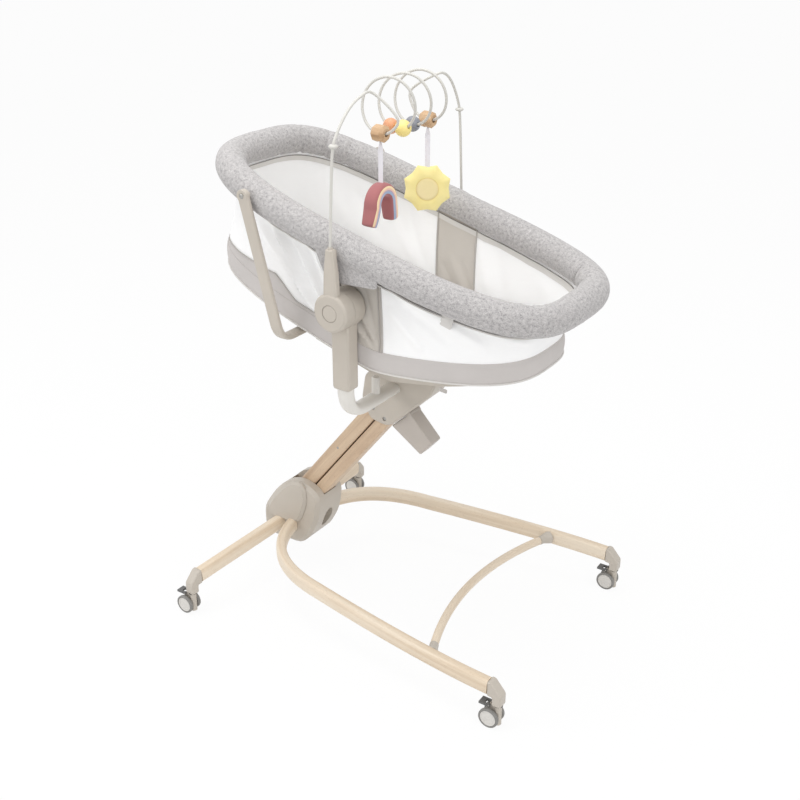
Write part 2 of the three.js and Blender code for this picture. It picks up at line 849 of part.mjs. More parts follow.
// Space that the bars sweep as the column rises, seen from one of its ends
function barSweep(pivots, reach) {
  const cutters = [];
  const halfWidth = barWidth / 2 + runGap;
  for (let i = 0; i <= sweepSteps; i += 1) {
    const angle = rise + degrees((columnRise * i) / sweepSteps);
    pivots.forEach(([x, z], k) => {
      const endX = x + reach * Math.cos(angle);
      const endZ = z + reach * Math.sin(angle);
      const shape = stadium(x, z, endX, endZ, barThicknesses[k] / 2 + swingGap);
      cutters.push(slabY(shape, -halfWidth, halfWidth, 0, endSteps));
    });
  }
  return cutters;
}

const aboutFoot = (corners) => corners.map(([x, z]) => [columnFootX + x, columnFootZ + z]);
const aboutHead = (corners) => corners.map(([x, z]) => [columnHeadX + x, columnHeadZ + z]);

// Hub: a body with a rounded cheek on each side, over the legs' sockets
function hub() {
  const outline = roundedOutline(aboutFoot(hubCorners), hubRounding);
  const body = slabY(outline, -hubHalfWidth, hubHalfWidth, hubBevel);
  const cheekOutline = roundedOutline(aboutFoot(cheekCorners), hubRounding);
  const cheek = slabY(cheekOutline, hubHalfWidth - hubBevel, cheekHalfWidth, cheekBevel);
  const pocket = new THREE.CylinderGeometry(
    hubButtonRadius + gap,
    hubButtonRadius + gap,
    2 * hubButtonThickness,
    roundFacets,
  );
  pocket.rotateZ(Math.PI / 2).translate(hubRear, 0, hubButtonZ);
  const well = new THREE.CylinderGeometry(wellHalfWidth, wellHalfWidth, 2 * wellDepth, roundFacets);
  well.rotateZ(Math.PI / 2).scale(1, 1, wellHalfHeight / wellHalfWidth);
  well.translate(columnFootX + wellReach, 0, columnFootZ + wellRise);
  const holes = pinHoles(footPivots, pinHalf + gap);
  const footSocket = legSocket(footLegPoints());
  const headSocket = legSocket(headLegPoints());
  const sockets = [footSocket, headSocket, mirrored(footSocket), mirrored(headSocket)];
  const whole = join(body, cheek, mirrored(cheek));
  return cut(whole, pocket, well, ...holes, ...sockets, ...barSweep(footPivots, columnLength / 2));
}

function hubButton() {
  const button = new THREE.CylinderGeometry(
    hubButtonRadius - fineCut,
    hubButtonRadius,
    hubButtonThickness - hubButtonTravel - gap,
    roundFacets,
  );
  const middle = hubRear + (hubButtonThickness - hubButtonTravel - gap) / 2 - hubButtonTravel;
  return button.rotateZ(Math.PI / 2).translate(middle, 0, hubButtonZ);
}

addPart('hub', hub(), plastic);
addPart('hub_button', hubButton(), plastic);

// Forked tube: up both arms, down under the basket and across the head casting
const tubeY = armInner + armDepth / 2;

function forkPoints() {
  const down = new THREE.Vector3(0, tubeY, forkZ + forkBend);
  const corner = new THREE.Vector3(0, tubeY, forkZ);
  const across = new THREE.Vector3(0, tubeY - forkBend, forkZ);
  const bend = new THREE.QuadraticBezierCurve3(down, corner, across).getPoints(forkSteps);
  const far = [new THREE.Vector3(0, tubeY, armTubeTop), ...bend];
  const near = far.map((point) => point.clone().setY(-point.y)).reverse();
  return [...far, ...near];
}

function forkBody(grow) {
  const section = ovalSection(forkTubeHalfX + grow, forkTubeHalfZ + grow, roundPower, legFacets);
  return sweep(forkPoints(), section, sideX);
}

function carrierFork() {
  const postTop = forkZ + postHeight;
  const posts = [-postY, postY].map((y) => rodZ(postRadius, forkZ, postTop, 0, y, legFacets));
  return join(forkBody(0), ...posts);
}

// Head casting round the tube and the tops of the bars
function headCasting() {
  const outline = roundedOutline(aboutHead(headCorners), headRounding);
  const body = slabY(outline, -headHalfWidth, headHalfWidth, headBevel);
  const holes = pinHoles(headPivots, headHalfWidth + overrun);
  const knuckleSlot = rodY(
    leverKnuckle + runGap,
    -leverWidth / 2 - runGap,
    leverWidth / 2 + runGap,
    leverPivotX,
    leverPivotZ,
  );
  const barSlots = barSweep(headPivots, -columnLength / 2);
  return cut(body, forkBody(gap), ...holes, knuckleSlot, ...barSlots);
}

// Release lever: a tapered paddle on a round knuckle
function releaseLever() {
  const corners = leverCorners.map(([x, z]) => [leverPivotX + x, leverPivotZ + z]);
  const outline = roundedOutline(corners, leverKnuckle / 2);
  const paddle = slabY(outline, -leverWidth / 2, leverWidth / 2, headBevel / 2);
  const knuckle = rodY(leverKnuckle, -leverWidth / 2, leverWidth / 2, leverPivotX, leverPivotZ);
  return join(paddle, knuckle);
}

addPart('carrier_fork', carrierFork(), paleMetal);
addPart('head_casting', headCasting(), plastic);
addPart('release_lever', releaseLever(), plastic);

// Arm covers on the fork, with the round heads that the basket turns on
function armCover() {
  const half = armWidth / 2;
  const outline = roundedOutline([
    [-half, pivotHeight],
    [-half, armCoverFoot],
    [half, armCoverFoot],
    [half, pivotHeight],
  ], armRounding);
  const cover = slabY(outline, armInner, armOuter, armBevel);
  const head = rodY(discRadius, armInner, armOuter, 0, pivotHeight, discFacets);
  const boreFoot = armOuter - axlePinLength - gap;
  const bore = rodY(axlePinRadius + gap, boreFoot, armOuter + overrun, 0, pivotHeight);
  return cut(join(cover, head), bore, forkBody(gap));
}

addPair('arm_cover', armCover(), plastic);

// Brackets: disc with its axle, neck with the toy bar's socket, and a lug to the rim tube
const lugZ = rimHeight(0) - lugDrop;
const neckFootZ = pivotHeight + discRadius / 2;
const neckWaistZ = neckFootZ + (socketTop - neckFootZ) * neckWaistShare;

function bracket() {
  const discProfile = [
    [0, 0],
    [discRadius, 0],
    [discRadius, discDepth - discBevel],
    [discRadius - discBevel / 2, discDepth - discBevel / 3],
    [discRadius - discBevel, discDepth],
    [0, discDepth],
  ].map(([radius, y]) => new THREE.Vector2(radius, y));
  const disc = new THREE.LatheGeometry(discProfile, discFacets).translate(0, discInner, pivotHeight);
  const axle = rodY(axlePinRadius, armOuter - axlePinLength, discInner + fineCut, 0, pivotHeight);
  const neck = roundedOutline([
    [-neckFootWidth / 2, neckFootZ],
    [neckFootWidth / 2, neckFootZ],
    [neckWaistWidth / 2, neckWaistZ],
    [neckTopWidth / 2, socketTop],
    [-neckTopWidth / 2, socketTop],
    [-neckWaistWidth / 2, neckWaistZ],
  ], armRounding / 2);
  const neckBody = slabY(neck, neckInner, neckOuter, armBevel);
  const lug = boxBetween(
    new THREE.Vector3(-lugWidth / 2, rimHalfWidth + rimTubeRadius + gap, lugZ - lugHeight / 2),
    new THREE.Vector3(lugWidth / 2, neckInner + armBevel, lugZ + lugHeight / 2),
  );
  const socketFoot = socketTop - socketDepth;
  const socket = rodZ(wireRadius + gap, socketFoot, socketTop + overrun, 0, wireFootY, legFacets);
  const pocket = rodY(
    tiltButtonRadius + gap,
    discOuter - tiltButtonDepth - tiltButtonTravel,
    discOuter + overrun,
    0,
    pivotHeight,
  );
  return cut(join(disc, axle, neckBody, lug), socket, pocket);
}

function tiltButton() {
  const foot = discOuter - tiltButtonDepth;
  const profile = [
    [0, 0],
    [tiltButtonRadius, 0],
    [tiltButtonRadius, tiltButtonDepth - fineCut],
    [tiltButtonRadius - fineCut, tiltButtonDepth],
    [0, tiltButtonDepth],
  ].map(([radius, y]) => new THREE.Vector2(radius, y));
  return new THREE.LatheGeometry(profile, roundFacets).translate(0, foot, pivotHeight);
}

addPair('basket_bracket', bracket(), plastic);
addPair('tilt_button', tiltButton(), plastic);

// Rim tube and its padded sleeve, with the flaps that hang behind the brackets
const rimRing = lifted(rimOval.ring(ringSteps), rimHeight);

function ringTube(radius, facets) {
  return sweep(rimRing, ovalSection(radius, radius, roundPower, facets), sideZ, true);
}

const stirrupFootX = trayRearX - stirrupWidth / 2 - stirrupBehindTray;
const stirrupFootZ = baseHeight(stirrupFootX) - stirrupWidth / 2 - stirrupUnderBase;
const stirrupPivotX = stirrupFootX - stirrupLean;
const stirrupPivotZ = rimHeight(stirrupPivotX) + stirrupPivotRise;
const stirrupRimY = rimOval.halfWidthAt(stirrupPivotX);
const stirrupY = stirrupRimY + sleeveRadius + stirrupOffSleeve + stirrupDepth / 2;

function rimSleeve() {
  const shell = cut(ringTube(sleeveRadius, sleeveFacets), ringTube(sleeveBore, boreFacets));
  const flapMiddle = (flapRearX + flapFrontX) / 2;
  const flapHalf = (flapFrontX - flapRearX) / 2;
  const flapFoot = pivotHeight + discRadius + flapAboveDisc;
  const flapY = rimHalfWidth + flapStandOff;
  const flapOutline = roundedOutline([
    [flapRearX, rimHeight(flapRearX) - sleeveBore],
    [flapMiddle - flapHalf * flapFootWidthShare, flapFoot],
    [flapFrontX, flapFoot],
    [flapFrontX, rimHeight(flapFrontX) - sleeveBore],
  ], armRounding);
  const flap = slabY(flapOutline, flapY, flapY + flapThickness);
  const lugHole = boxBetween(
    new THREE.Vector3(-lugWidth / 2 - gap, rimHalfWidth, lugZ - lugHeight / 2 - gap),
    new THREE.Vector3(lugWidth / 2 + gap, neckOuter, lugZ + lugHeight / 2 + gap),
  );
  const pinHole = rodY(
    stirrupPinRadius + gap,
    stirrupRimY,
    stirrupY,
    stirrupPivotX,
    stirrupPivotZ,
  );
  return cut(
    join(shell, flap, mirrored(flap)),
    lugHole,
    mirrored(lugHole),
    pinHole,
    mirrored(pinHole),
  );
}

addPart('rim_tube', ringTube(rimTubeRadius, boreFacets), steel);
addPart('rim_sleeve', rimSleeve(), heather);

// Side walls of the basket between the sleeve and the band, cut into panels and gussets
function wallShell() {
  const hem = new Oval(rimMiddleX, rimHalfLength - wallInset, rimHalfWidth - wallInset, rimPower);
  const top = hem.ring(ringSteps);
  const foot = baseRing(bandThickness / 2);
  const rings = top.map((above, k) => {
    const below = foot[k];
    const middle = new THREE.Vector3(baseMiddleX, 0, 0);
    const rows = [0, middleShare, 1].map((share) => {
      const point = above.clone().lerp(below, share);
      const inward = middle.clone().sub(point).normalize();
      point.addScaledVector(inward, 4 * wallDrawIn * share * (1 - share));
      const topZ = rimHeight(point.x) - sleeveBore;
      const footZ = baseHeight(point.x) + bandHeight + gap;
      point.z = topZ + (footZ - topZ) * share;
      return { point, inward };
    });
    const outer = rows.map((row) => row.point.clone().addScaledVector(row.inward, -wallThickness / 2));
    const inner = rows.map((row) => row.point.clone().addScaledVector(row.inward, wallThickness / 2));
    return [...outer, ...inner.reverse()];
  });
  const raised = baseBand().translate(0, 0, gap);
  return cut(skin(rings, true), ringTube(sleeveRadius + gap, sleeveFacets), raised);
}

function lengthwiseSlice(fromX, toX, side) {
  const lowY = side > 0 ? 0 : -2 * rimHalfWidth;
  const highY = side < 0 ? 0 : 2 * rimHalfWidth;
  return boxBetween(new THREE.Vector3(fromX, lowY, 0), new THREE.Vector3(toX, highY, 2 * rimMiddleZ));
}

const wall = wallShell();
const rimEnd = rimHalfLength + sleeveRadius + Math.abs(rimMiddleX);
addPart('wall_head', keepInside(wall, lengthwiseSlice(-rimEnd, gussetRearX - gap, 0)), mesh);
addPart('wall_foot', keepInside(wall, lengthwiseSlice(gussetFrontX + gap, rimEnd, 0)), mesh);
addPart('gusset_near', keepInside(wall, lengthwiseSlice(gussetRearX, gussetFrontX, -1)), bandGrey);
addPart('gusset_far', keepInside(wall, lengthwiseSlice(gussetRearX, gussetFrontX, 1)), bandGrey);

// Fabric band round the base, and the board inside it
function baseBand() {
  const outline = [
    [0, 0],
    [-bandBulge, middleShare],
    [0, 1],
    [bandThickness, 1],
    [bandThickness - bandBulge, middleShare],
    [bandThickness, 0],
  ];
  const rows = outline.map(([inset, share]) => (
    lifted(baseRing(inset), (x) => baseHeight(x) + bandHeight * share)));
  const sections = rows[0].map((_, k) => rows.map((row) => row[k]));
  return skin(sections, true);
}

function baseFloor() {
  const inset = bandThickness + gap;
  const low = lifted(baseRing(inset), (x) => baseHeight(x) + floorLift);
  const high = lifted(baseRing(inset), (x) => baseHeight(x) + floorLift + floorThickness);
  return skin([low, high], false);
}

// Tray under the seat half, deepest at its head end and running out at the foot
function seatTray() {
  const sections = [];
  for (let i = 0; i <= traySegments; i += 1) {
    const x = trayRearX + ((trayFrontX - trayRearX) * i) / traySegments;
    const taper = Math.min(1, (trayFrontX - x) / (trayFrontX - trayTaperX));
    const topZ = baseHeight(x) + floorLift - gap;
    const depth = floorLift + trayWall + trayDrop * taper;
    const half = Math.min(trayHalfWidth, baseOval(bandThickness + trayWall).halfWidthAt(x));
    const footHalf = half - depth / 2;
    sections.push([
      new THREE.Vector3(x, -half, topZ),
      new THREE.Vector3(x, -footHalf, topZ - depth),
      new THREE.Vector3(x, footHalf, topZ - depth),
      new THREE.Vector3(x, half, topZ),
    ]);
  }
  return cut(skin(sections, false), baseFloor().translate(0, 0, -gap));
}

function mattress() {
  const clear = bandThickness + mattressInset;
  const bed = (x) => baseHeight(x) + floorLift + floorThickness / 2;
  const rows = [
    [clear + mattressBulge, 0],
    ...mattressSideShares.map((share) => [clear, mattressThickness * share]),
    [clear + mattressBulge, mattressThickness],
    [clear + mattressShoulder, mattressThickness + mattressCrown / 2],
    [clear + mattressTop, mattressThickness + mattressCrown],
  ];
  const rings = rows.map(([inset, height]) => (
    lifted(baseRing(inset, mattressSteps), (x) => bed(x) + height)));
  return cut(skin(rings, false), baseFloor().translate(0, 0, gap));
}

addPart('base_band', baseBand(), bandGrey);
addPart('base_floor', baseFloor(), board);
addPart('seat_tray', seatTray(), plastic);
addPart('mattress', mattress(), white);

// Stirrup: two flat legs from the rim, joined under the head end
function stirrup() {
  const top = new THREE.Vector3(stirrupPivotX, stirrupY, stirrupPivotZ);
  const corner = new THREE.Vector3(stirrupFootX, stirrupY, stirrupFootZ);
  const down = corner.clone().add(top.clone().sub(corner).setLength(stirrupBend));
  const across = corner.clone().setY(stirrupY - stirrupBend);
  const bend = new THREE.QuadraticBezierCurve3(down, corner, across).getPoints(stirrupSteps);
  const far = [top, ...bend];
  const near = far.map((point) => point.clone().setY(-point.y)).reverse();
  const section = ovalSection(stirrupWidth / 2, stirrupDepth / 2, legPower, tubeFacets);
  const bar = sweep([...far, ...near], section, sideX);
  const half = stirrupDepth / 2;
  const eye = rodY(stirrupWidth / 2, stirrupY - half, stirrupY + half, top.x, top.z, legFacets);
  const pinFoot = stirrupRimY + rimTubeRadius + gap;
  const pin = rodY(stirrupPinRadius, pinFoot, stirrupY, top.x, top.z, legFacets);
  return join(bar, eye, mirrored(eye), pin, mirrored(pin));
}

addPart('head_stirrup', stirrup(), plastic);

// Toy bar: one wire from socket to socket with a row of loops in the middle
// A phase of 0 is the top of a loop, and the wire runs from there to the foot side
const wireShoulderY = wireFootY - wireLean;
const wireShoulderZ = socketTop + wireRise;
const loopMiddleZ = wireShoulderZ + loopRise;
const loopLastY = loopFirstY + loopPitch * (loopCount - 1);
const longestBead = Math.max(woodBeadLength, 2 * largeBallRadius, 2 * smallBallRadius);
const wireSag = longestBead ** 2 / (16 * loopRadius);
const beadBore = wireRadius + wireSag + beadClear;

function loopPoint(phase) {
  const turns = (phase - Math.PI) / (2 * Math.PI);
  return new THREE.Vector3(
    loopRadius * Math.sin(phase),
    loopFirstY + loopPitch * turns,
    loopMiddleZ + loopRadius * Math.cos(phase),
  );
}

const bottomPhase = (loop) => Math.PI * (2 * loop + 1);

function shoulder(side, crestY, crestRise) {
  return shoulderShares.map(([across, up]) => new THREE.Vector3(
    0,
    side * wireShoulderY + (crestY - side * wireShoulderY) * across,
    wireShoulderZ + crestRise * up,
  ));
}

function wirePoints() {
  const loops = [];
  const firstPhase = Math.PI * firstPhaseShare;
  const lastPhase = bottomPhase(loopCount - 1) + Math.PI / 2;
  const steps = Math.round(((lastPhase - firstPhase) / (2 * Math.PI)) * loopSteps / 2);
  for (let i = 0; i <= steps; i += 1) {
    loops.push(loopPoint(firstPhase + ((lastPhase - firstPhase) * i) / steps));
  }
  const curve = new THREE.CatmullRomCurve3([
    new THREE.Vector3(0, -wireFootY, socketTop),
    ...shoulder(-1, loopFirstY - nearCrestReach, nearCrestRise),
    ...loops,
    ...shoulder(1, loopLastY + farCrestReach, farCrestRise).reverse(),
    new THREE.Vector3(0, wireFootY, socketTop),
  ], false, 'centripetal');
  const foot = socketTop - socketDepth + gap;
  return [
    new THREE.Vector3(0, -wireFootY, foot),
    ...curve.getSpacedPoints(wireSteps),
    new THREE.Vector3(0, wireFootY, foot),
  ];
}

// Least open distance of the wire to itself, past the stretch on either side of each point
function leastWireGap(points) {
  let least = Infinity;
  const apart = Math.ceil(loopSteps / 3);
  for (let i = 0; i < points.length; i += 1) {
    for (let j = i + apart; j < points.length; j += 1) {
      least = Math.min(least, points[i].distanceTo(points[j]) - 2 * wireRadius);
    }
  }
  return least;
}

// Sweep a section with its frame carried along the path, so that loops don't pinch it
function sweepRound(points, section) {
  const side = sideX.clone();
  const rings = points.map((point, i) => {
    const before = points[Math.max(i - 1, 0)];
    const after = points[Math.min(i + 1, points.length - 1)];
    const tangent = after.clone().sub(before).normalize();
    side.addScaledVector(tangent, -side.dot(tangent)).normalize();
    const upward = tangent.clone().cross(side);
    return section.map(([a, b]) => point.clone().addScaledVector(side, a).addScaledVector(upward, b));
  });
  return skin(rings, false);
}

function toyBar() {
  const points = wirePoints();
  console.log(`least gap of the toy bar's wire to itself: ${leastWireGap(points).toFixed(1)} mm`);
  const wire = sweepRound(points, ovalSection(wireRadius, wireRadius, roundPower, wireFacets));
  const half = stopperHeight / 2;
  const profile = [
    [0, -half],
    [stopperRadius - half, -half],
    [stopperRadius, 0],
    [stopperRadius - half, half],
    [0, half],
  ].map(([radius, y]) => new THREE.Vector2(radius, y));
  const stopper = new THREE.LatheGeometry(profile, legFacets).rotateX(Math.PI / 2);
  stopper.translate(0, wireShoulderY, wireShoulderZ);
  return join(wire, stopper, mirrored(stopper));
}

addPart('toy_bar', toyBar(), wireGrey);

// Beads turn on the wire: their axis is the loop's tangent there
function onWire(geometry, phase) {
  const step = beadBore / loopRadius;
  const tangent = loopPoint(phase + step).sub(loopPoint(phase - step)).normalize();
  const turn = new THREE.Quaternion().setFromUnitVectors(sideY, tangent);
  const place = loopPoint(phase);
  return geometry.applyQuaternion(turn).translate(place.x, place.y, place.z + wireSag);
}

function ballBead(radius) {
  const start = Math.asin(beadBore / radius);
  const profile = [];
  for (let i = 0; i <= ballSteps; i += 1) {
    const angle = start + ((Math.PI - 2 * start) * i) / ballSteps;
    profile.push(new THREE.Vector2(radius * Math.sin(angle), -radius * Math.cos(angle)));
  }
  profile.push(profile[0].clone());
  return new THREE.LatheGeometry(profile, legFacets);
}

function woodBead(radius) {
  const half = woodBeadLength / 2;
  const bevel = (radius - beadBore) / 2;
  const profile = [
    [beadBore, -half],
    [radius - bevel, -half],
    [radius, bevel - half],
    [radius, half - bevel],
    [radius - bevel, half],
    [beadBore, half],
    [beadBore, -half],
  ].map(([x, y]) => new THREE.Vector2(x, y));
  return new THREE.LatheGeometry(profile, woodBeadFacets);
}

// A ribbon hangs from a knot that is held in a wedge-shaped notch under its bead
const knotUp = beadBore + knotRadius + runGap + knotBridge;
const knotZ = loopMiddleZ - loopRadius + wireSag - knotUp;

function ribbonNotch(y) {
  const half = ribbonWidth / 2 + runGap;
  const pocket = rodY(knotRadius + gap, y - half, y + half, 0, knotZ, legFacets);
  const wedge = new THREE.Shape();
  const mouth = woodBeadRadius * Math.tan(degrees(toySwing));
  wedge.moveTo(-ribbonThickness, knotZ);
  wedge.lineTo(ribbonThickness, knotZ);
  wedge.lineTo(ribbonThickness + mouth, knotZ - woodBeadRadius);
  wedge.lineTo(-ribbonThickness - mouth, knotZ - woodBeadRadius);
  wedge.closePath();
  return [pocket, slabY(wedge, y - half, y + half)];
}

function hungRibbon(y, foot) {
  const half = ribbonWidth / 2;
  const knot = rodY(knotRadius, y - half, y + half, 0, knotZ, tubeFacets);
  const strip = boxBetween(
    new THREE.Vector3(-ribbonThickness / 2, y - half, foot),
    new THREE.Vector3(ribbonThickness / 2, y + half, knotZ),
  );
  return join(knot, strip);
}

const archY = loopPoint(bottomPhase(0)).y;
const starY = loopPoint(bottomPhase(loopCount - 1)).y;
const hangingBead = (loop, y) => (
  cut(onWire(woodBead(woodBeadRadius), bottomPhase(loop)), ...ribbonNotch(y)));
addPart('bead_arch', hangingBead(0, archY), beadWood);
addPart('bead_star', hangingBead(loopCount - 1, starY), beadWood);
const pairPhase = Math.asin((smallBallRadius + largeBallRadius + gap) / (2 * loopRadius));
addPart('bead_yellow', onWire(ballBead(largeBallRadius), bottomPhase(1) - pairPhase), yellow);
addPart('bead_orange', onWire(ballBead(smallBallRadius), bottomPhase(1) + pairPhase), orange);
addPart('bead_slate', onWire(ballBead(smallBallRadius), bottomPhase(2)), slate);

// Soft arch: a padded half ring on two legs, hung by its ribbon
function archToy() {
  const top = knotZ - archRibbonLength - archTube;
  const path = [];
  for (let i = 0; i <= archSteps; i += 1) {
    const angle = (Math.PI * i) / archSteps;
    path.push([archHalfWidth * Math.cos(angle), archHalfWidth * Math.sin(angle)]);
  }
  path.unshift([archHalfWidth + archSplay, -archLeg], [archHalfWidth + archSplay / 2, -archLeg / 2]);
  path.push([-archHalfWidth - archSplay / 2, -archLeg / 2], [-archHalfWidth - archSplay, -archLeg]);
  const middle = top - archHalfWidth;
  const points = path.map(([y, z]) => new THREE.Vector3(0, archY + y, middle + z));
  const swell = points.map((point, i) => {
    const share = Math.abs(2 * i / (points.length - 1) - 1);
    return 1 - archTaperShare * share ** archTaperPower;
  });
  const section = ovalSection(archDepth, archTube, archPower, tubeFacets);
  const rings = points.map((point, i) => {
    const before = points[Math.max(i - 1, 0)];
    const after = points[Math.min(i + 1, points.length - 1)];
    const outward = after.clone().sub(before).normalize().cross(sideX);
    return section.map(([a, b]) => (
      point.clone().addScaledVector(sideX, a * swell[i]).addScaledVector(outward, b * swell[i])));
  });
  return join(skin(rings, false), hungRibbon(archY, top));
}

// Soft star: blunt points round a raised middle, swollen on both faces
function starToy() {
  const count = starPoints * 4;
  const starFlank = starRadius - starPointDepth / 2;
  const starValley = starRadius - starPointDepth;
  const starZ = knotZ - starDrop;
  const radii = [starRadius, starFlank, starValley, starFlank];
  const ring = (share, height) => [...Array(count).keys()].map((k) => {
    const angle = (2 * Math.PI * (k + 0.5)) / count;
    const reach = share * radii[k % 4];
    return new THREE.Vector3(reach * Math.cos(angle), height, reach * Math.sin(angle));
  });
  const nearRings = starRingShares.map(([share, thick]) => ring(share, -thick * starThickness));
  const farRings = starRingShares.map(([share, thick]) => ring(share, thick * starThickness));
  const rings = [...nearRings, ...farRings.slice(0, -1).reverse()];
  const star = skin(rings, false).rotateZ(degrees(starTurn)).translate(0, starY, starZ);
  return join(star, hungRibbon(starY, starZ + starValley / 2));
}

addPart('toy_arch', archToy(), rose);
addPart('toy_star', starToy(), sun);

bassinet.children.forEach((part) => part.position.setX(part.position.x - pivotBehindMiddle));

export default bassinet;
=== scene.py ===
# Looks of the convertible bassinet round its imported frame
# Points are worked out in millimetres from the arms' plane, +X to the foot end, and placed in metres
import math

import bmesh
import bpy
import numpy as np
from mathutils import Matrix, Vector


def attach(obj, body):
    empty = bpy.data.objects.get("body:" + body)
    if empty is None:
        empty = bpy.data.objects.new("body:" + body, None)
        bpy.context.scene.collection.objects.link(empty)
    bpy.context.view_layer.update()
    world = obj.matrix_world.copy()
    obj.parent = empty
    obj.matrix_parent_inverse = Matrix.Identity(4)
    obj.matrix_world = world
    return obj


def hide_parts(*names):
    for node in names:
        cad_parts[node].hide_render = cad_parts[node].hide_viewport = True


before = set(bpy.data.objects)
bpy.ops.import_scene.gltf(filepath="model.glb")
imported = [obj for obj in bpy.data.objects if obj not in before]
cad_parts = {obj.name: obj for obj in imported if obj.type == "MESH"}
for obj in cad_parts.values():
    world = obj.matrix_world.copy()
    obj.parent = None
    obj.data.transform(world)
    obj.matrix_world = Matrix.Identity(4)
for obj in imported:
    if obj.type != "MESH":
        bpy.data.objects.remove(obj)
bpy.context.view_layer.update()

# From the arms' plane to the middle of the frame, along X
SHIFT = -12.55
rng = np.random.default_rng(7)
scene = bpy.context.scene


# Colours and node trees
def rgb(*values):
    out = []
    for v in values:
        c = v / 255
        out.append(c / 12.92 if c <= 0.04045 else ((c + 0.055) / 1.055) ** 2.4)
    return (*out, 1.0)


def grey(v):
    return (v, v, v, 1)


def dimmed(colour, by):
    return tuple(min(1, c * by) for c in colour[:3]) + (1,)


def feed(t, socket, value):
    if isinstance(value, bpy.types.NodeSocket):
        t.links.new(value, socket)
    else:
        socket.default_value = value


def node(t, kind, inputs=None, **props):
    n = t.nodes.new("ShaderNode" + kind)
    for key, value in props.items():
        setattr(n, key, value)
    for key, value in (inputs or {}).items():
        feed(t, n.inputs[key], value)
    return n


def material(name, kind="object"):
    """A material, its tree and its texture vector in metres."""
    m = bpy.data.materials.new(name)
    m.use_nodes = True
    t = m.node_tree
    t.nodes.clear()
    node(t, "OutputMaterial", {0: node(t, "BsdfPrincipled").outputs[0]})
    if kind == "object":
        return m, t, node(t, "TexCoord").outputs["Object"]
    if kind == "cloth":
        return m, t, node(t, "UVMap", uv_map=kind).outputs[0]
    return m, t, node(t, "Attribute", attribute_name=kind).outputs["Vector"]


def noise(t, vector, scale, detail=2.0, rough=0.5, warp=0.0):
    if isinstance(scale, tuple):
        vector, scale = node(t, "Mapping", {"Vector": vector, "Scale": scale}).outputs[0], 1
    inputs = {"Vector": vector, "Scale": scale, "Detail": detail, "Roughness": rough, "Distortion": warp}
    return node(t, "TexNoise", inputs).outputs["Fac"]


def ramp(t, value, stops, mode="LINEAR"):
    n = node(t, "ValToRGB", {"Fac": value})
    n.color_ramp.interpolation = mode
    while len(n.color_ramp.elements) < len(stops):
        n.color_ramp.elements.new(0.5)
    for element, (at, colour) in zip(n.color_ramp.elements, stops):
        element.position = at
        element.color = colour
    return n.outputs["Color"]


def between(t, value, low, high):
    return ramp(t, value, [(0.3, low), (0.7, high)])


def blend_colour(t, how, share, a, b):
    n = node(t, "Mix", data_type="RGBA", blend_type=how)
    for index, value in ((0, share), (6, a), (7, b)):
        feed(t, n.inputs[index], value)
    return n.outputs[2]


def darkened(t, base, share, value, low, shade, high):
    """The base colour times a shade where a value is low."""
    return blend_colour(t, "MULTIPLY", share, base, ramp(t, value, [(low, shade), (high, grey(1))]))


def maths(t, how, a, b=0.0):
    return node(t, "Math", {0: a, 1: b}, operation=how).outputs[0]


def plus(t, a, b):
    return maths(t, "ADD", a, b)


def times(t, a, b):
    return maths(t, "MULTIPLY", a, b)


def weave(t, cloth, threads, warp):
    """Crossing waves of warp and weft."""
    inputs = {"Vector": cloth, "Scale": threads, "Distortion": warp}
    a, b = (node(t, "TexWave", inputs, bands_direction=axis).outputs["Fac"] for axis in "XY")
    return times(t, a, b)


def mapped(t, value, low, high):
    return node(t, "MapRange", {0: value, 3: low, 4: high}).outputs[0]


def bump(t, height, strength, depth, edge=None):
    """Relief of a height, on edges that are rounded by a radius."""
    inputs = {"Height": height, "Strength": strength, "Distance": depth}
    if edge:
        inputs["Normal"] = node(t, "Bevel", {"Radius": edge}, samples=4).outputs[0]
    return node(t, "Bump", inputs).outputs[0]


def surface(m, colour, normal, rough, **values):
    shader = m.node_tree.nodes["Principled BSDF"]
    for key, value in {"Base Color": colour, "Normal": normal, "Roughness": rough, **values}.items():
        feed(m.node_tree, shader.inputs[key.replace("_", " ")], value)
    return m


# Materials
def moulded(name, colour, rough=0.42, edge=0.0009):
    """Moulded plastic with spark-eroded grain."""
    m, t, where = material(name)
    cloudy, fine = noise(t, where, 14, 3), noise(t, where, 2600)
    base = between(t, cloudy, dimmed(colour, 0.965), dimmed(colour, 1.035))
    base = darkened(t, base, 0.10, fine, 0.35, grey(0.82), 0.65)
    relief = bump(t, fine, 0.09, 0.0002, edge)
    return surface(m, base, relief, mapped(t, cloudy, rough - 0.05, rough + 0.06))


def painted(name, colour, rough=0.33, edge=0.0006, peel=220, relief=0.12):
    """Paint with a fine orange peel."""
    m, t, where = material(name)
    film = noise(t, where, peel)
    base = between(t, noise(t, where, 11), dimmed(colour, 0.965), colour)
    normal = bump(t, film, relief, 0.0003, edge)
    return surface(m, base, normal, mapped(t, film, rough - 0.05, rough + 0.08), Specular_IOR_Level=0.45)


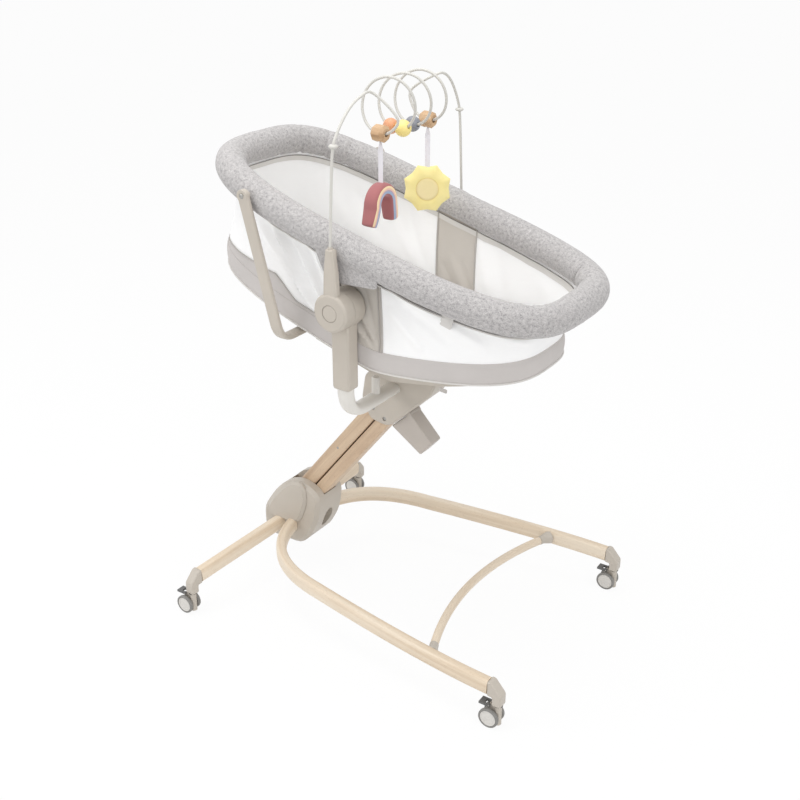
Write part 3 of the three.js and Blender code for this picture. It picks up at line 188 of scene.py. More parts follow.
def wood(name, light, mid, dark, source="grain"):
    """Lacquered beech: fibres, short flecks and slow growth rings along the bar."""
    m, t, where = material(name, source)
    fibre = noise(t, where, (9, 420, 420), 5, 0.6, 0.2)
    rings = noise(t, where, (2.4, 46, 46), 3, 0.5, 0.8)
    flecks = noise(t, where, (110, 1500, 1500), 1)
    base = ramp(t, rings, [(0.30, dark), (0.46, mid), (0.62, light)])
    base = darkened(t, base, 0.30, fibre, 0.32, grey(0.74), 0.62)
    base = darkened(t, base, 0.34, flecks, 0.27, rgb(176, 142, 112), 0.35)
    height = plus(t, times(t, fibre, 0.6), times(t, flecks, 0.4))
    return surface(m, base, bump(t, height, 0.10, 0.0003, 0.0009), mapped(t, fibre, 0.40, 0.56),
                   Coat_Weight=0.12, Coat_Roughness=0.35)


def melange(name, deep, mid, pale):
    """Melange knit: short crossing threads with clumps and a soft pile."""
    m, t, cloth = material(name, "cloth")
    across, along = noise(t, cloth, (330, 1150, 1), 2, 0.6), noise(t, cloth, (1150, 330, 1), 2, 0.6)
    threads = maths(t, "MAXIMUM", across, along)
    clumps = noise(t, cloth, (150, 150, 1), 3)
    value = plus(t, times(t, threads, 0.72), times(t, clumps, 0.28))
    base = ramp(t, value, [(0.45, deep), (0.53, mid), (0.60, mid), (0.69, pale)])
    base = darkened(t, base, 0.25, noise(t, cloth, (12, 12, 1)), 0.3, grey(0.88), 0.7)
    height = plus(t, times(t, weave(t, cloth, 130, 1.5), 0.5), threads)
    return surface(m, base, bump(t, height, 0.40, 0.0007), 0.92, Sheen_Weight=0.25, Sheen_Roughness=0.5,
                   Specular_IOR_Level=0.2)


def woven(name, colour, step, contrast, threads, strength, sheen=0.12):
    """Plain weave with slight shade changes between the threads."""
    m, t, cloth = material(name, "cloth")
    yarn = weave(t, cloth, threads, 0.6)
    slub = noise(t, cloth, (60, 900, 1))
    base = between(t, noise(t, cloth, (9, 9, 1), 3), dimmed(colour, 1 - contrast), colour)
    base = darkened(t, base, step * 0.3, yarn, 0.0, grey(0.80), 0.6)
    base = darkened(t, base, 0.10, slub, 0.35, grey(0.84), 0.6)
    return surface(m, base, bump(t, plus(t, yarn, slub), strength, 0.0004), 0.86, Sheen_Weight=sheen,
                   Sheen_Roughness=0.5, Specular_IOR_Level=0.25)


def felt(name, base_of):
    """Napped cloth in a colour that may change from place to place."""
    m, t, where = material(name)
    hair = noise(t, where, 900, 4, 0.7)
    base = darkened(t, base_of(t, where), 0.30, hair, 0.3, grey(0.80), 0.65)
    return surface(m, base, bump(t, hair, 0.35, 0.0006), 0.93, Sheen_Weight=0.3, Sheen_Roughness=0.4,
                   Specular_IOR_Level=0.2)


def rubber(name, colour):
    m, t, where = material(name)
    scuff = noise(t, where, 90, 4, 0.65)
    base = ramp(t, scuff, [(0.35, dimmed(colour, 0.86)), (0.65, colour)])
    normal = bump(t, noise(t, where, 1500), 0.12, 0.0002, 0.0006)
    return surface(m, base, normal, mapped(t, scuff, 0.52, 0.72))


def metal(name, colour):
    m, t, where = material(name)
    turning = noise(t, where, (900, 60, 900), 3)
    base = between(t, turning, dimmed(colour, 0.8), colour)
    normal = bump(t, turning, 0.08, 0.0002, 0.0005)
    return surface(m, base, normal, mapped(t, turning, 0.26, 0.44), Metallic=1.0)


WARM_GREY = rgb(191, 183, 172)
PLASTIC = moulded("warm_grey_plastic", WARM_GREY)
ROUNDED = moulded("warm_grey_plastic_rounded", WARM_GREY, edge=0.0035)
LEVER = moulded("lever_plastic", rgb(186, 178, 170), 0.45)
DISC = moulded("wheel_disc_plastic", rgb(212, 209, 204), 0.38, 0.0005)
PEDAL = moulded("pedal_plastic", rgb(100, 100, 100), 0.5, 0.0006)
DARK = moulded("dark_bush_plastic", rgb(96, 92, 88), 0.5, 0.0004)
BOARD = moulded("base_board", rgb(188, 182, 176), 0.6)
TUBE = painted("fork_paint", rgb(222, 219, 213))
WIRE = painted("wire_paint", rgb(206, 204, 198), 0.36, 0.0003, 500, 0.03)
ORANGE = painted("orange_bead_paint", rgb(226, 164, 124), 0.4, 0.0003)
YELLOW = painted("yellow_bead_paint", rgb(248, 228, 146), 0.4, 0.0003)
SLATE = painted("slate_bead_paint", rgb(138, 141, 150), 0.4, 0.0003)
STEEL = metal("steel", rgb(176, 174, 170))
TYRE = rubber("tyre_rubber", rgb(136, 134, 131))
BEECH = wood("beech", rgb(235, 221, 201), rgb(228, 211, 188), rgb(216, 196, 170))
BEECH_BAR = wood("beech_bar", rgb(213, 189, 161), rgb(204, 178, 150), rgb(190, 163, 136))
BEAD = wood("bead_wood", rgb(212, 178, 140), rgb(200, 164, 125), rgb(184, 147, 108), "object")
HEATHER = melange("heather_knit", rgb(138, 135, 136), rgb(188, 185, 184), rgb(230, 228, 227))
WHITE = woven("white_mesh_cloth", rgb(252, 252, 252), 0.15, 0.015, 150, 0.10, 0.05)
SHEET = woven("white_cotton", rgb(250, 249, 247), 0.2, 0.02, 230, 0.15, 0.1)
BAND = woven("band_cloth", rgb(202, 197, 194), 0.5, 0.05, 260, 0.18)
PANEL = woven("panel_cloth", rgb(205, 199, 191), 0.5, 0.05, 240, 0.2)
# Dark cord colour: painted shadow for the shaded gap where the sleeve meets the wall, not a real cord
SHADOW_CORD = woven("painted_shadow_cord", rgb(138, 133, 129), 0.5, 0.06, 420, 0.2)
PIPING = woven("piping_cord", rgb(186, 181, 176), 0.6, 0.06, 420, 0.35)
TRIM = woven("trim_tape", rgb(222, 219, 215), 0.6, 0.06, 320, 0.3)
RIBBON = woven("ribbon_web", rgb(240, 238, 243), 0.6, 0.03, 420, 0.35, 0.2)


# Geometry helpers
UP, ALONG = (0, 0, 1), (1, 0, 0)


def unit(v):
    return v / np.maximum(np.linalg.norm(v, axis=-1, keepdims=True), 1e-9)


def oval(t, a, b, power):
    """An oval that grows squarer with its power."""
    c, s = np.cos(t), np.sin(t)
    return a * np.sign(c) * np.abs(c) ** (2 / power), b * np.sign(s) * np.abs(s) ** (2 / power)


def oval_section(a, b, power, count):
    return np.stack(oval(2 * np.pi * (np.arange(count) + 0.5) / count, a, b, power), 1)


def bezier(a, b, c, count):
    t = np.linspace(0, 1, count + 1)[:, None]
    a, b, c = (np.array(p, float) for p in (a, b, c))
    return a * (1 - t) ** 2 + 2 * b * t * (1 - t) + c * t ** 2


def summed(steps):
    return np.concatenate([[0], np.cumsum(steps)])


def run_of(points):
    """How far along the line each of its points lies."""
    return summed(np.linalg.norm(np.diff(points, axis=0), axis=1))


def even(points, count):
    """The same line with points at equal steps."""
    p = np.array(points, float)
    run = run_of(p)
    at = np.linspace(0, run[-1], count)
    return np.stack([np.interp(at, run, p[:, i]) for i in range(3)], 1)


def turned(flat, angle):
    """Points of a plane, turned about its origin."""
    c, s = math.cos(angle), math.sin(angle)
    return np.column_stack([flat[:, 0] * c - flat[:, 1] * s, flat[:, 0] * s + flat[:, 1] * c])


def tangents(p, closed=False):
    if closed:
        return unit(np.roll(p, -1, 0) - np.roll(p, 1, 0))
    return unit(np.vstack([p[1:], p[-1:]]) - np.vstack([p[:1], p[:-1]]))


def square_to(t, side):
    """Two directions square to each tangent, the first leaning to the side vector."""
    side = np.array(side, float)
    a = unit(side - (t @ side)[:, None] * t)
    return a, np.cross(t, a)


def carried(t):
    """Two directions square to each tangent, carried along without a twist."""
    a, lead = np.zeros_like(t), np.array([1.0, 0, 0])
    for i, way in enumerate(t):
        lead = unit(lead - (lead @ way) * way)
        a[i] = lead
    return a, np.cross(t, a)


def rings_on(line, scale, section, a, b):
    return line[:, None] + scale * (section[None, :, :1] * a[:, None] + section[None, :, 1:] * b[:, None])


def sweep(points, section, side=None, closed=False, grow=1.0):
    """Rings of a section along a line, leaning to the side vector if there is one."""
    p = np.array(points, float)
    t = tangents(p, closed)
    scale = np.ones(len(p)) * grow
    return rings_on(p, scale[:, None, None], section, *(carried(t) if side is None else square_to(t, side)))


def skin(rings, closed=False, round_ring=True):
    """Faces and thread coordinates in metres through rings of points."""
    rings = np.array(rings, float)
    n, c = rings.shape[:2]
    middle = rings.mean(1, keepdims=True) if round_ring else rings
    hop = np.linalg.norm(np.diff(np.concatenate([middle, middle[:1]]), axis=0), axis=2).mean(1)
    lap = np.linalg.norm(np.diff(np.concatenate([rings, rings[:, :1]], 1), axis=1), axis=2).mean(0)
    along, around = summed(hop) * 0.001, summed(lap) * 0.001
    faces, threads = [], []
    for i in range(n if closed else n - 1):
        j = (i + 1) % n
        for k in range(c if round_ring else c - 1):
            m = (k + 1) % c
            faces.append((i * c + k, i * c + m, j * c + m, j * c + k))
            threads.append(((along[i], around[k]), (along[i], around[k + 1]),
                            (along[i + 1], around[k + 1]), (along[i + 1], around[k])))
    verts = rings.reshape(-1, 3)
    q = verts[np.array(faces)]
    if round_ring and not closed:
        for first, order, v in ((0, range(c - 1, -1, -1), 0.0), ((n - 1) * c, range(c), 0.01)):
            faces.append(tuple(first + k for k in order))
            threads.append(tuple((around[k], v) for k in order))
    volume = (q[:, 0] * np.cross(q[:, 1], q[:, 2])).sum() + (q[:, 0] * np.cross(q[:, 2], q[:, 3])).sum()
    if round_ring and volume < 0:
        faces = [f[::-1] for f in faces]
        threads = [u[::-1] for u in threads]
    return verts, faces, threads


def lump(*parts):
    """One mesh of several skins."""
    verts, faces, threads, base = [], [], [], 0
    for v, f, u in parts:
        verts.append(v)
        faces += [tuple(i + base for i in face) for face in f]
        threads += list(u)
        base += len(v)
    return np.concatenate(verts), faces, threads


def moved(made, by):
    return made[0] + by, *made[1:]


def both(made):
    """A skin and its mirror image."""
    verts, faces, threads = made
    return lump(made, (verts * [1, -1, 1], [f[::-1] for f in faces], [u[::-1] for u in threads]))


def piece(name, made, mat, body="basket", stands_for=(), grain=None, sharp=38, ride=True):
    verts, faces, threads = made
    me = bpy.data.meshes.new(name)
    me.from_pydata([tuple(v) for v in (verts + [SHIFT, 0, 0]) * 0.001], [], faces)
    layer = me.uv_layers.new(name="cloth")
    layer.data.foreach_set("uv", np.array([c for u in threads for c in u], np.float32).ravel())
    if grain is not None:
        attribute = me.attributes.new("grain", "FLOAT_VECTOR", "POINT")
        attribute.data.foreach_set("vector", np.array(grain, np.float32).ravel())
    me.update()
    me.shade_smooth()
    me.set_sharp_from_angle(angle=math.radians(sharp))
    me.materials.append(mat)
    ob = bpy.data.objects.new(name, me)
    scene.collection.objects.link(ob)
    if ride:
        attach(ob, body)
    if stands_for:
        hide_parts(*stands_for)
    return ob


def lathe(profile, count, middle=(0, 0, 0), axis="y", closed=False):
    """Turned form: profile points are radius and place along the axis, which is y or z."""
    t = 2 * np.pi * np.arange(count) / count
    rings = []
    for r, h in profile:
        c, s, flat = r * np.cos(t), r * np.sin(t), np.full(count, float(h))
        rings.append(np.stack((c, flat, s) if axis == "y" else (c, s, flat), 1) + middle)
    return skin(rings, closed)


def rod(points, radius, facets=10, closed=False, side=None):
    return skin(sweep(points, oval_section(radius, radius, 2, facets), side, closed), closed)


# Heights and outlines of the basket
RIM_MIDDLE, RIM_HALF_LENGTH, RIM_HALF_WIDTH, RIM_POWER = 19, 384, 205, 3.5
BASE_MIDDLE, BASE_HALF_LENGTH, BASE_HALF_WIDTH, BASE_POWER = -27, 380, 185, 3.1
RIM_DROP = 17
BAND_HEIGHT = 44


def rim_height(x):
    """Middle of the rim tube: it climbs to the head end and lifts a little at both ends."""
    away = x - RIM_MIDDLE
    return 902 - 0.293 * away + 12 * (away / RIM_HALF_LENGTH) ** 2


def base_height(x):
    """Underside of the base: it climbs to both ends from a soft bend under the seat."""
    beyond = (np.asarray(x, float) - 50) / 15
    return 650 + 15 * (0.327 * np.logaddexp(0, -beyond) + 0.05 * np.logaddexp(0, beyond))


def shares_of(count):
    return (np.arange(count) + 0.5) / count


def outline(shares, middle, half_length, half_width, power):
    """Points of an oval seen from above, by their share of its lap."""
    x, y = oval(np.linspace(0, 2 * np.pi, 60001), half_length, half_width, power)
    x = middle + x
    run = summed(np.hypot(np.diff(x), np.diff(y)))
    return np.stack([np.interp(shares * run[-1], run, line) for line in (x, y)], -1)


def rim_at(shares, inset=0):
    return outline(shares, RIM_MIDDLE, RIM_HALF_LENGTH - inset, RIM_HALF_WIDTH - inset, RIM_POWER)


def base_at(shares, inset):
    return outline(shares, BASE_MIDDLE, BASE_HALF_LENGTH - inset, BASE_HALF_WIDTH - inset, BASE_POWER)


def base_ring(count, inset, up):
    """A ring of points round the base, a given way above its underside."""
    flat = base_at(shares_of(count), inset)
    return np.column_stack([flat, base_height(flat[:, 0]) + up])


# Camera where the photograph was taken from
CAMERA_DIP, CAMERA_TURN = 24.7454, 33.2133
camera = bpy.data.objects.new("camera", bpy.data.cameras.new("camera"))
camera.data.sensor_width = 36
camera.data.lens = 49.5
camera.location = (1.19658, -1.85151, 1.52382)
camera.rotation_euler = (math.radians(90 - CAMERA_DIP), 0, math.radians(CAMERA_TURN))
scene.collection.objects.link(camera)
scene.camera = camera


# CAD nodes that stay: welded and smoothed between their real edges
EDGE_ANGLE, WELD_GAP = math.radians(34), 0.00002


def smoothing():
    g = bpy.data.node_groups.new("smooth_faces", "GeometryNodeTree")
    for in_out in ("INPUT", "OUTPUT"):
        g.interface.new_socket("Geometry", in_out=in_out, socket_type="NodeSocketGeometry")
    first, angle, above, faces, edges, last = (g.nodes.new(kind) for kind in (
        "NodeGroupInput", "GeometryNodeInputMeshEdgeAngle", "FunctionNodeCompare",
        "GeometryNodeSetShadeSmooth", "GeometryNodeSetShadeSmooth", "NodeGroupOutput"))
    above.data_type, above.operation = "FLOAT", "GREATER_THAN"
    above.inputs[1].default_value = EDGE_ANGLE
    faces.domain, edges.domain = "FACE", "EDGE"
    faces.inputs["Shade Smooth"].default_value = True
    edges.inputs["Shade Smooth"].default_value = False
    for source, target in ((angle, above.inputs[0]), (above, edges.inputs["Selection"]),
                           (first, faces.inputs["Geometry"]), (faces, edges.inputs["Geometry"]),
                           (edges, last.inputs[0])):
        g.links.new(source.outputs[0], target)
    return g


SMOOTH = smoothing()


def dress(mat, *names):
    for name in names:
        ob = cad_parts[name]
        ob.data.materials.clear()
        ob.data.materials.append(mat)
        ob.modifiers.new("weld", "WELD").merge_threshold = WELD_GAP
        ob.modifiers.new("smooth", "NODES").node_group = SMOOTH


SIDES = ((-1, "near"), (1, "far"))
CASTORS = {"head_near": (-358, -334), "head_far": (-358, 334),
           "foot_near": (421, -289), "foot_far": (421, 289)}
for corner in CASTORS:
    dress(PLASTIC, f"castor_body_{corner}")
    dress(PEDAL, f"castor_brake_{corner}")
for _, side in SIDES:
    for name in ("leg_cap_foot", "leg_cap_head", "cross_bar_fitting", "tilt_button"):
        dress(PLASTIC, f"{name}_{side}")
    dress(ROUNDED, f"arm_cover_{side}", f"basket_bracket_{side}")
dress(PLASTIC, "hub", "hub_button", "head_casting", "seat_tray")
dress(LEVER, "release_lever")
dress(BOARD, "base_floor")
dress(STEEL, "rim_tube")
for end in ("foot", "head"):
    dress(STEEL, f"column_pin_{end}_lower", f"column_pin_{end}_upper")
dress(BEAD, "bead_arch", "bead_star")


# Castor wheels: a rubber tyre and a dished disc on each side of the fork
WHEEL_RADIUS, CASTOR_TRAIL = 22, 15
tyre = lathe([(17.6, 8.6), (20.6, 8.6), (21.5, 9.2), (21.95, 10.4), (WHEEL_RADIUS, 12.75), (21.95, 15),
              (21.5, 16.3), (20.6, 16.9), (18.9, 17), (18.1, 16.7), (17.6, 16.2)], 56, closed=True)
disc = lathe([(0, 8.9), (17.4, 8.9), (17.4, 16.1), (16.9, 16.5), (15.8, 16.5), (15.2, 16.0), (14.7, 15.5),
              (9, 15.4), (4.6, 15.5), (4.2, 15.9), (3.6, 16.0), (0, 16.0)], 56)
axle = lathe([(0, -8.9), (2.9, -8.9), (2.9, 8.9), (0, 8.9)], 16)
collar = lathe([(7.9, 51.4), (9.3, 51.4), (9.6, 52), (9.6, 52.6), (7.9, 52.6)], 28, axis="z", closed=True)
for corner, (x, y) in CASTORS.items():
    wheel_at = (x - CASTOR_TRAIL, y, WHEEL_RADIUS)
    piece(f"castor_discs_{corner}", moved(lump(both(disc), axle), wheel_at), DISC, f"wheels_{corner}",
          [f"castor_wheels_{corner}"])
    piece(f"castor_tyres_{corner}", moved(both(tyre), wheel_at), TYRE, f"wheels_{corner}")
    piece(f"swivel_collar_{corner}", moved(collar, (x, y, 0)), DARK, f"castor_{corner}")


# Legs and cross bar, with the grain running along them
def wooden(name, line, section, node_name, offset):
    """A bar with its grain along it."""
    grain = np.zeros((len(line), len(section), 3))
    grain[:, :, 0] = run_of(line)[:, None]
    grain[:, :, 1:] = section
    grain = grain.reshape(-1, 3) * 0.001 + [offset, offset * 0.37, offset * 0.21]
    piece(name, skin(sweep(line, section, UP)), BEECH, "base", [node_name], grain)


LEG = oval_section(17.5, 12, 3.5, 44)
LEG_ROOT_Y, LEG_CAP_Z, CAP_REACH = 36, 90, 22.3
foot_root, foot_cap = (-284, LEG_ROOT_Y, 121), (398.7, 288.65, LEG_CAP_Z)
foot_places = [(-262, 209, 117.9), (-72, 234, 108.6), (230, 286, 96.2)]
foot_leg = np.vstack([bezier(foot_root, foot_places[0], foot_places[1], 40),
                      bezier(foot_places[1], foot_places[2], foot_cap, 34)[1:]])
head_root, head_stem = np.array([-318.0, LEG_ROOT_Y]), np.array([-358, 334.0])
head_cap = head_stem - CAP_REACH * unit(head_stem - head_root)
head_leg = np.linspace([*head_root, 118], [*head_cap, LEG_CAP_Z], 24)
for sign, side in SIDES:
    wooden(f"beech_leg_foot_{side}", foot_leg * [1, sign, 1], LEG, f"leg_foot_{side}", 0.7 + 0.4 * sign)
    wooden(f"beech_leg_head_{side}", head_leg * [1, sign, 1], LEG, f"leg_head_{side}", 2.3 + 0.5 * sign)
CROSS_SHARE, CROSS_BOW, FITTING_REACH, CROSS_STEPS = 0.62, 114, 24, 400
cross_end = (np.array(foot_places[1]) * (1 - CROSS_SHARE) ** 2
             + 2 * np.array(foot_places[2]) * CROSS_SHARE * (1 - CROSS_SHARE)
             + np.array([399.0, 288.65, LEG_CAP_Z]) * CROSS_SHARE ** 2) - [0, 12.3, 0]
cross_line = bezier(cross_end * [1, -1, 1], cross_end * [1, 0, 1] - [CROSS_BOW, 0, 0], cross_end, CROSS_STEPS)
trim = int(round(CROSS_STEPS * FITTING_REACH / (2 * cross_end[1])))
wooden("beech_cross_bar", even(cross_line[trim:-trim], 60), oval_section(10, 9, 2, 32), "cross_bar", 4.1)


# Column bars: slabs with round ends and eased long edges
BAR_SLOPE, BAR_LENGTH, BAR_GAP, BAR_GAP_TURN = math.radians(51.3), 425, 35.7, math.radians(95)
BAR_HALF_WIDTH, BAR_EASE, END_STEPS, SCREW_WAY = 23, 4.5, 19, 252


def heading(angle):
    return np.array([math.cos(angle), math.sin(angle)])


def bar_mesh(foot, head, thickness):
    along = unit(head - foot)
    normal = np.array([-along[1], along[0]])
    angles = np.radians([*np.linspace(-90, 90, END_STEPS), *np.linspace(90, 270, END_STEPS)])
    spokes = np.column_stack([np.cos(angles), np.sin(angles)]) @ [along, normal]
    rings = []
    for angle in np.radians(np.linspace(0, 90, 6)):
        reach = thickness / 2 - BAR_EASE * (1 - math.sin(angle))
        flat = np.repeat([head, foot], END_STEPS, 0) + spokes * reach
        rings.append((flat, -BAR_HALF_WIDTH + BAR_EASE * (1 - math.cos(angle))))
    rings = rings + [(flat, -y) for flat, y in rings[::-1]]
    solid = [np.column_stack([flat[:, 0], np.full(len(flat), y), flat[:, 1]]) for flat, y in rings]
    verts = np.array(solid).reshape(-1, 3)
    way = (verts[:, [0, 2]] - foot) @ along
    off = (verts[:, [0, 2]] - foot) @ normal
    return skin(solid), np.column_stack([way, off, verts[:, 1]]) * 0.001


foot_lower = np.array([-289, 133.5])
head_lower = foot_lower + BAR_LENGTH * heading(BAR_SLOPE)
link = BAR_GAP * heading(BAR_SLOPE + BAR_GAP_TURN)
for name, shift, thickness, offset in (("lower", 0, 30, 6.2), ("upper", link, 35, 8.6)):
    made, grain = bar_mesh(foot_lower + shift, head_lower + shift, thickness)
    piece(f"beech_bar_{name}", made, BEECH_BAR, f"{name}_bar", [f"column_bar_{name}"],
          grain + offset)
screw_at = foot_lower + link + heading(BAR_SLOPE) * SCREW_WAY
screw = lathe([(0, -23.5), (2.0, -23.5), (2.9, -23.2), (3.2, -22.6), (3.2, -21), (0, -21)], 24,
              (screw_at[0], 0, screw_at[1]))
piece("bar_screw", screw, STEEL, "upper_bar")


# Forked tube with its two rest posts
def fork_line():
    bend = bezier((0, 206, 609), (0, 206, 547), (0, 144, 547), 22)
    far = np.vstack([[0, 206, 690], [0, 206, 650], bend, [0, 100, 547], [0, 50, 547]])
    return np.vstack([far, (far * [1, -1, 1])[::-1]])


POST_PROFILE = [(0, 549), (9, 549), (9, 594), (8.2, 597), (6.4, 598), (0, 598)]
fork = skin(sweep(fork_line(), oval_section(19, 13, 2, 40), ALONG))
posts = [lathe(POST_PROFILE, 28, (0, y, 0), "z") for y in (-98, 98)]
piece("fork_tube", lump(fork, *posts), TUBE, "head", ["carrier_fork"])


# Stirrup: flat bar with round eyes and a rivet head on each side
STIRRUP_X, STIRRUP_Y, STIRRUP_BEND = -216, 237, 34
top = np.array([STIRRUP_X, STIRRUP_Y, rim_height(STIRRUP_X) + 8])
corner = np.array([-141, STIRRUP_Y, 695.0])
down = corner + STIRRUP_BEND * unit(top - corner)
bend = bezier(down, corner, corner - [0, STIRRUP_BEND, 0], 14)
far_half = np.vstack([even([top, down], 12)[:-1], bend])
stirrup_line = np.vstack([far_half, (far_half * [1, -1, 1])[::-1]])
eye_at = top * [1, 0, 1]
eye = lathe([(0, 231), (12.2, 231), (13, 232), (13, 242), (12.2, 243), (6.4, 243), (6.0, 242.2),
             (0, 242.2)], 40, eye_at)
pin = lathe([(0, 216), (5, 216), (5, 238), (0, 238)], 20, eye_at)
rivet = lathe([(0, 242.3), (5.2, 242.3), (5.2, 243.1), (4.4, 243.8), (2.2, 244.0), (1.9, 243.2),
               (0, 243.2)], 28, eye_at)
stirrup = skin(sweep(stirrup_line, oval_section(13, 6, 3.5, 32), ALONG))
piece("stirrup_bar", lump(stirrup, both(eye), both(pin)), PLASTIC, "stirrup", ["head_stirrup"])
piece("stirrup_rivets", both(rivet), STEEL, "stirrup")


# Toy bar: one wire from socket to socket with a row of loops
LOOP_R, LOOP_Z, LOOP_Y, PITCH = 52, 1152, -74, 58
SOCKET_Y, SOCKET_Z, STOPPER_Y, STOPPER_Z = 245.5, 913, 228, 1103
FULL = 2 * math.pi


def loop_point(phase):
    turns = (phase - math.pi) / FULL
    return np.array([LOOP_R * math.sin(phase), LOOP_Y + PITCH * turns, LOOP_Z + LOOP_R * math.cos(phase)])


def centripetal(points, count):
    """Equal steps on a centripetal curve through points."""
    p = np.array(points, float)
    p = np.vstack([2 * p[0] - p[1], p, 2 * p[-1] - p[-2]])
    out = []
    for i in range(1, len(p) - 2):
        p0, p1, p2, p3 = p[i - 1:i + 3]
        d0, d1, d2 = (max(np.linalg.norm(b - a), 1e-6) ** 0.5 for a, b in ((p0, p1), (p1, p2), (p2, p3)))
        m1 = ((p1 - p0) / d0 - (p2 - p0) / (d0 + d1) + (p2 - p1) / d1) * d1
        m2 = ((p2 - p1) / d1 - (p3 - p1) / (d1 + d2) + (p3 - p2) / d2) * d1
        for w in np.linspace(0, 1, 24, endpoint=False):
            out.append(p1 + m1 * w + (-3 * p1 + 3 * p2 - 2 * m1 - m2) * w ** 2
                       + (2 * p1 - 2 * p2 + m1 + m2) * w ** 3)
    out.append(p[-2])
    return even(out, count)


def shoulder(sign, crest_y, crest_z):
    """The wire's arc from a stopper up to the row of loops."""
    shares = [[0, 0], [0.08, 0.22], [0.25, 0.53], [0.47, 0.8], [0.72, 0.96], [1, 1]]
    return [[0, sign * (STOPPER_Y - (STOPPER_Y - crest_y) * a), STOPPER_Z + (crest_z - STOPPER_Z) * u]
            for a, u in shares]


def wire_line():
    first, last = math.pi * 0.62, math.pi * 7.5
    steps = round((last - first) / FULL * 12)
    loops = [loop_point(first + (last - first) * i / steps) for i in range(steps + 1)]
    through = [[0, -SOCKET_Y, SOCKET_Z], *shoulder(-1, 104, 1183), *loops, *shoulder(1, 140, 1188)[::-1],
               [0, SOCKET_Y, SOCKET_Z]]
    return np.vstack([[[0, -SOCKET_Y, 879.5]], centripetal(through, 620), [[0, SOCKET_Y, 879.5]]])


stopper = lathe([(2.6, -3.5), (6.2, -3.4), (8.1, -2.2), (9, 0), (8.1, 2.2), (6.2, 3.4), (2.6, 3.5)], 32,
                (0, STOPPER_Y, STOPPER_Z), "z", True)
wire = lump(rod(wire_line(), 2.8, 14), both(stopper))
piece("toy_wire_bar", wire, WIRE, "toy_wire", ["toy_bar"])
cuff = lathe([(3.0, 912.8), (5.0, 912.8), (5.0, 915.5), (4.4, 916.6), (3.0, 916.6)], 24,
             (0, SOCKET_Y, 0), "z", True)
piece("socket_cuffs", both(cuff), PLASTIC)


# Beads that turn on the wire and hang a little low on it
BEAD_SAG, BEAD_BORE = 1.4, 4.6


def on_wire(made, phase):
    verts, faces, threads = made
    step = 5 / LOOP_R
    y = unit(loop_point(phase + step) - loop_point(phase - step))
    x = unit(np.cross(y, [0, 0, 1.0]))
    z = np.cross(x, y)
    return verts @ [x, y, z] + loop_point(phase) + [0, 0, BEAD_SAG], faces, threads


def ball(radius):
    start = math.asin(BEAD_BORE / radius)
    arc = np.linspace(start, math.pi - start, 22)
    profile = [(radius * math.sin(a), -radius * math.cos(a)) for a in arc]
    inner = profile[-1][1] - 1.2
    return lathe([*profile, (BEAD_BORE - 0.6, inner), (BEAD_BORE - 0.6, -inner)], 44, closed=True)


apart = math.asin((16 + 17 + 0.3) / (2 * LOOP_R))
for name, radius, phase, mat in (
        ("yellow", 17, 3 * math.pi - apart, YELLOW), ("orange", 16, 3 * math.pi + apart, ORANGE),
        ("slate", 16, 5 * math.pi, SLATE)):
    bead = on_wire(ball(radius - 0.2), phase)
    piece(f"ball_{name}", bead, mat, f"{name}_bead", [f"bead_{name}"])


# Soft toys on ribbons
KNOT_Z = LOOP_Z - LOOP_R + BEAD_SAG - 8.6
ARCH_Z, STAR_Y, STAR_Z = 963, 100, 958


def arch_colour(t, where):
    """Stripes on the flat faces of the arch, by the way out from its middle line."""
    split = node(t, "SeparateXYZ", {0: where}).outputs
    side = plus(t, split[1], -LOOP_Y * 0.001)
    z = maths(t, "SUBTRACT", split[2], ARCH_Z * 0.001)
    y, up = maths(t, "ABSOLUTE", side), maths(t, "MAXIMUM", z, 0.0)
    slope = plus(t, times(t, maths(t, "LESS_THAN", side, 0.0), 0.22), 0.14)
    splay = times(t, maths(t, "MINIMUM", z, 0.0), slope)
    out = maths(t, "SQRT", plus(t, times(t, y, y), times(t, up, up)))
    band = times(t, maths(t, "SUBTRACT", plus(t, out, splay), 0.015), 1 / 0.030)
    rose = rgb(176, 115, 116)
    stripes = [(0.0, rose), (0.22, rgb(166, 185, 212)), (0.38, rgb(190, 170, 190)),
               (0.46, rgb(242, 201, 180)), (0.58, rgb(252, 226, 184)), (0.72, rose)]
    depth = maths(t, "ABSOLUTE", maths(t, "SUBTRACT", split[0], SHIFT * 0.001))
    flat = maths(t, "GREATER_THAN", depth, 0.0125)
    return blend_colour(t, "MIX", flat, rose, ramp(t, band, stripes, "CONSTANT"))


def star_colour(t, where):
    """Yellow felt with a slightly deeper round middle."""
    outer = between(t, noise(t, where, 30), rgb(250, 234, 160), rgb(254, 240, 172))
    middle = between(t, noise(t, where, 24), rgb(243, 226, 170), rgb(248, 232, 180))
    centre = (SHIFT * 0.001, STAR_Y * 0.001, STAR_Z * 0.001)
    away = node(t, "VectorMath", {0: where, 1: centre}, operation="DISTANCE").outputs["Value"]
    return blend_colour(t, "MIX", maths(t, "LESS_THAN", away, 0.0258), outer, middle)


def disc_colour(t, where):
    return between(t, noise(t, where, 30), rgb(236, 214, 140), rgb(244, 224, 152))


ROSE = felt("arch_felt", arch_colour)
SUN = felt("star_felt", star_colour)
SUN_DISC = felt("star_disc_felt", disc_colour)


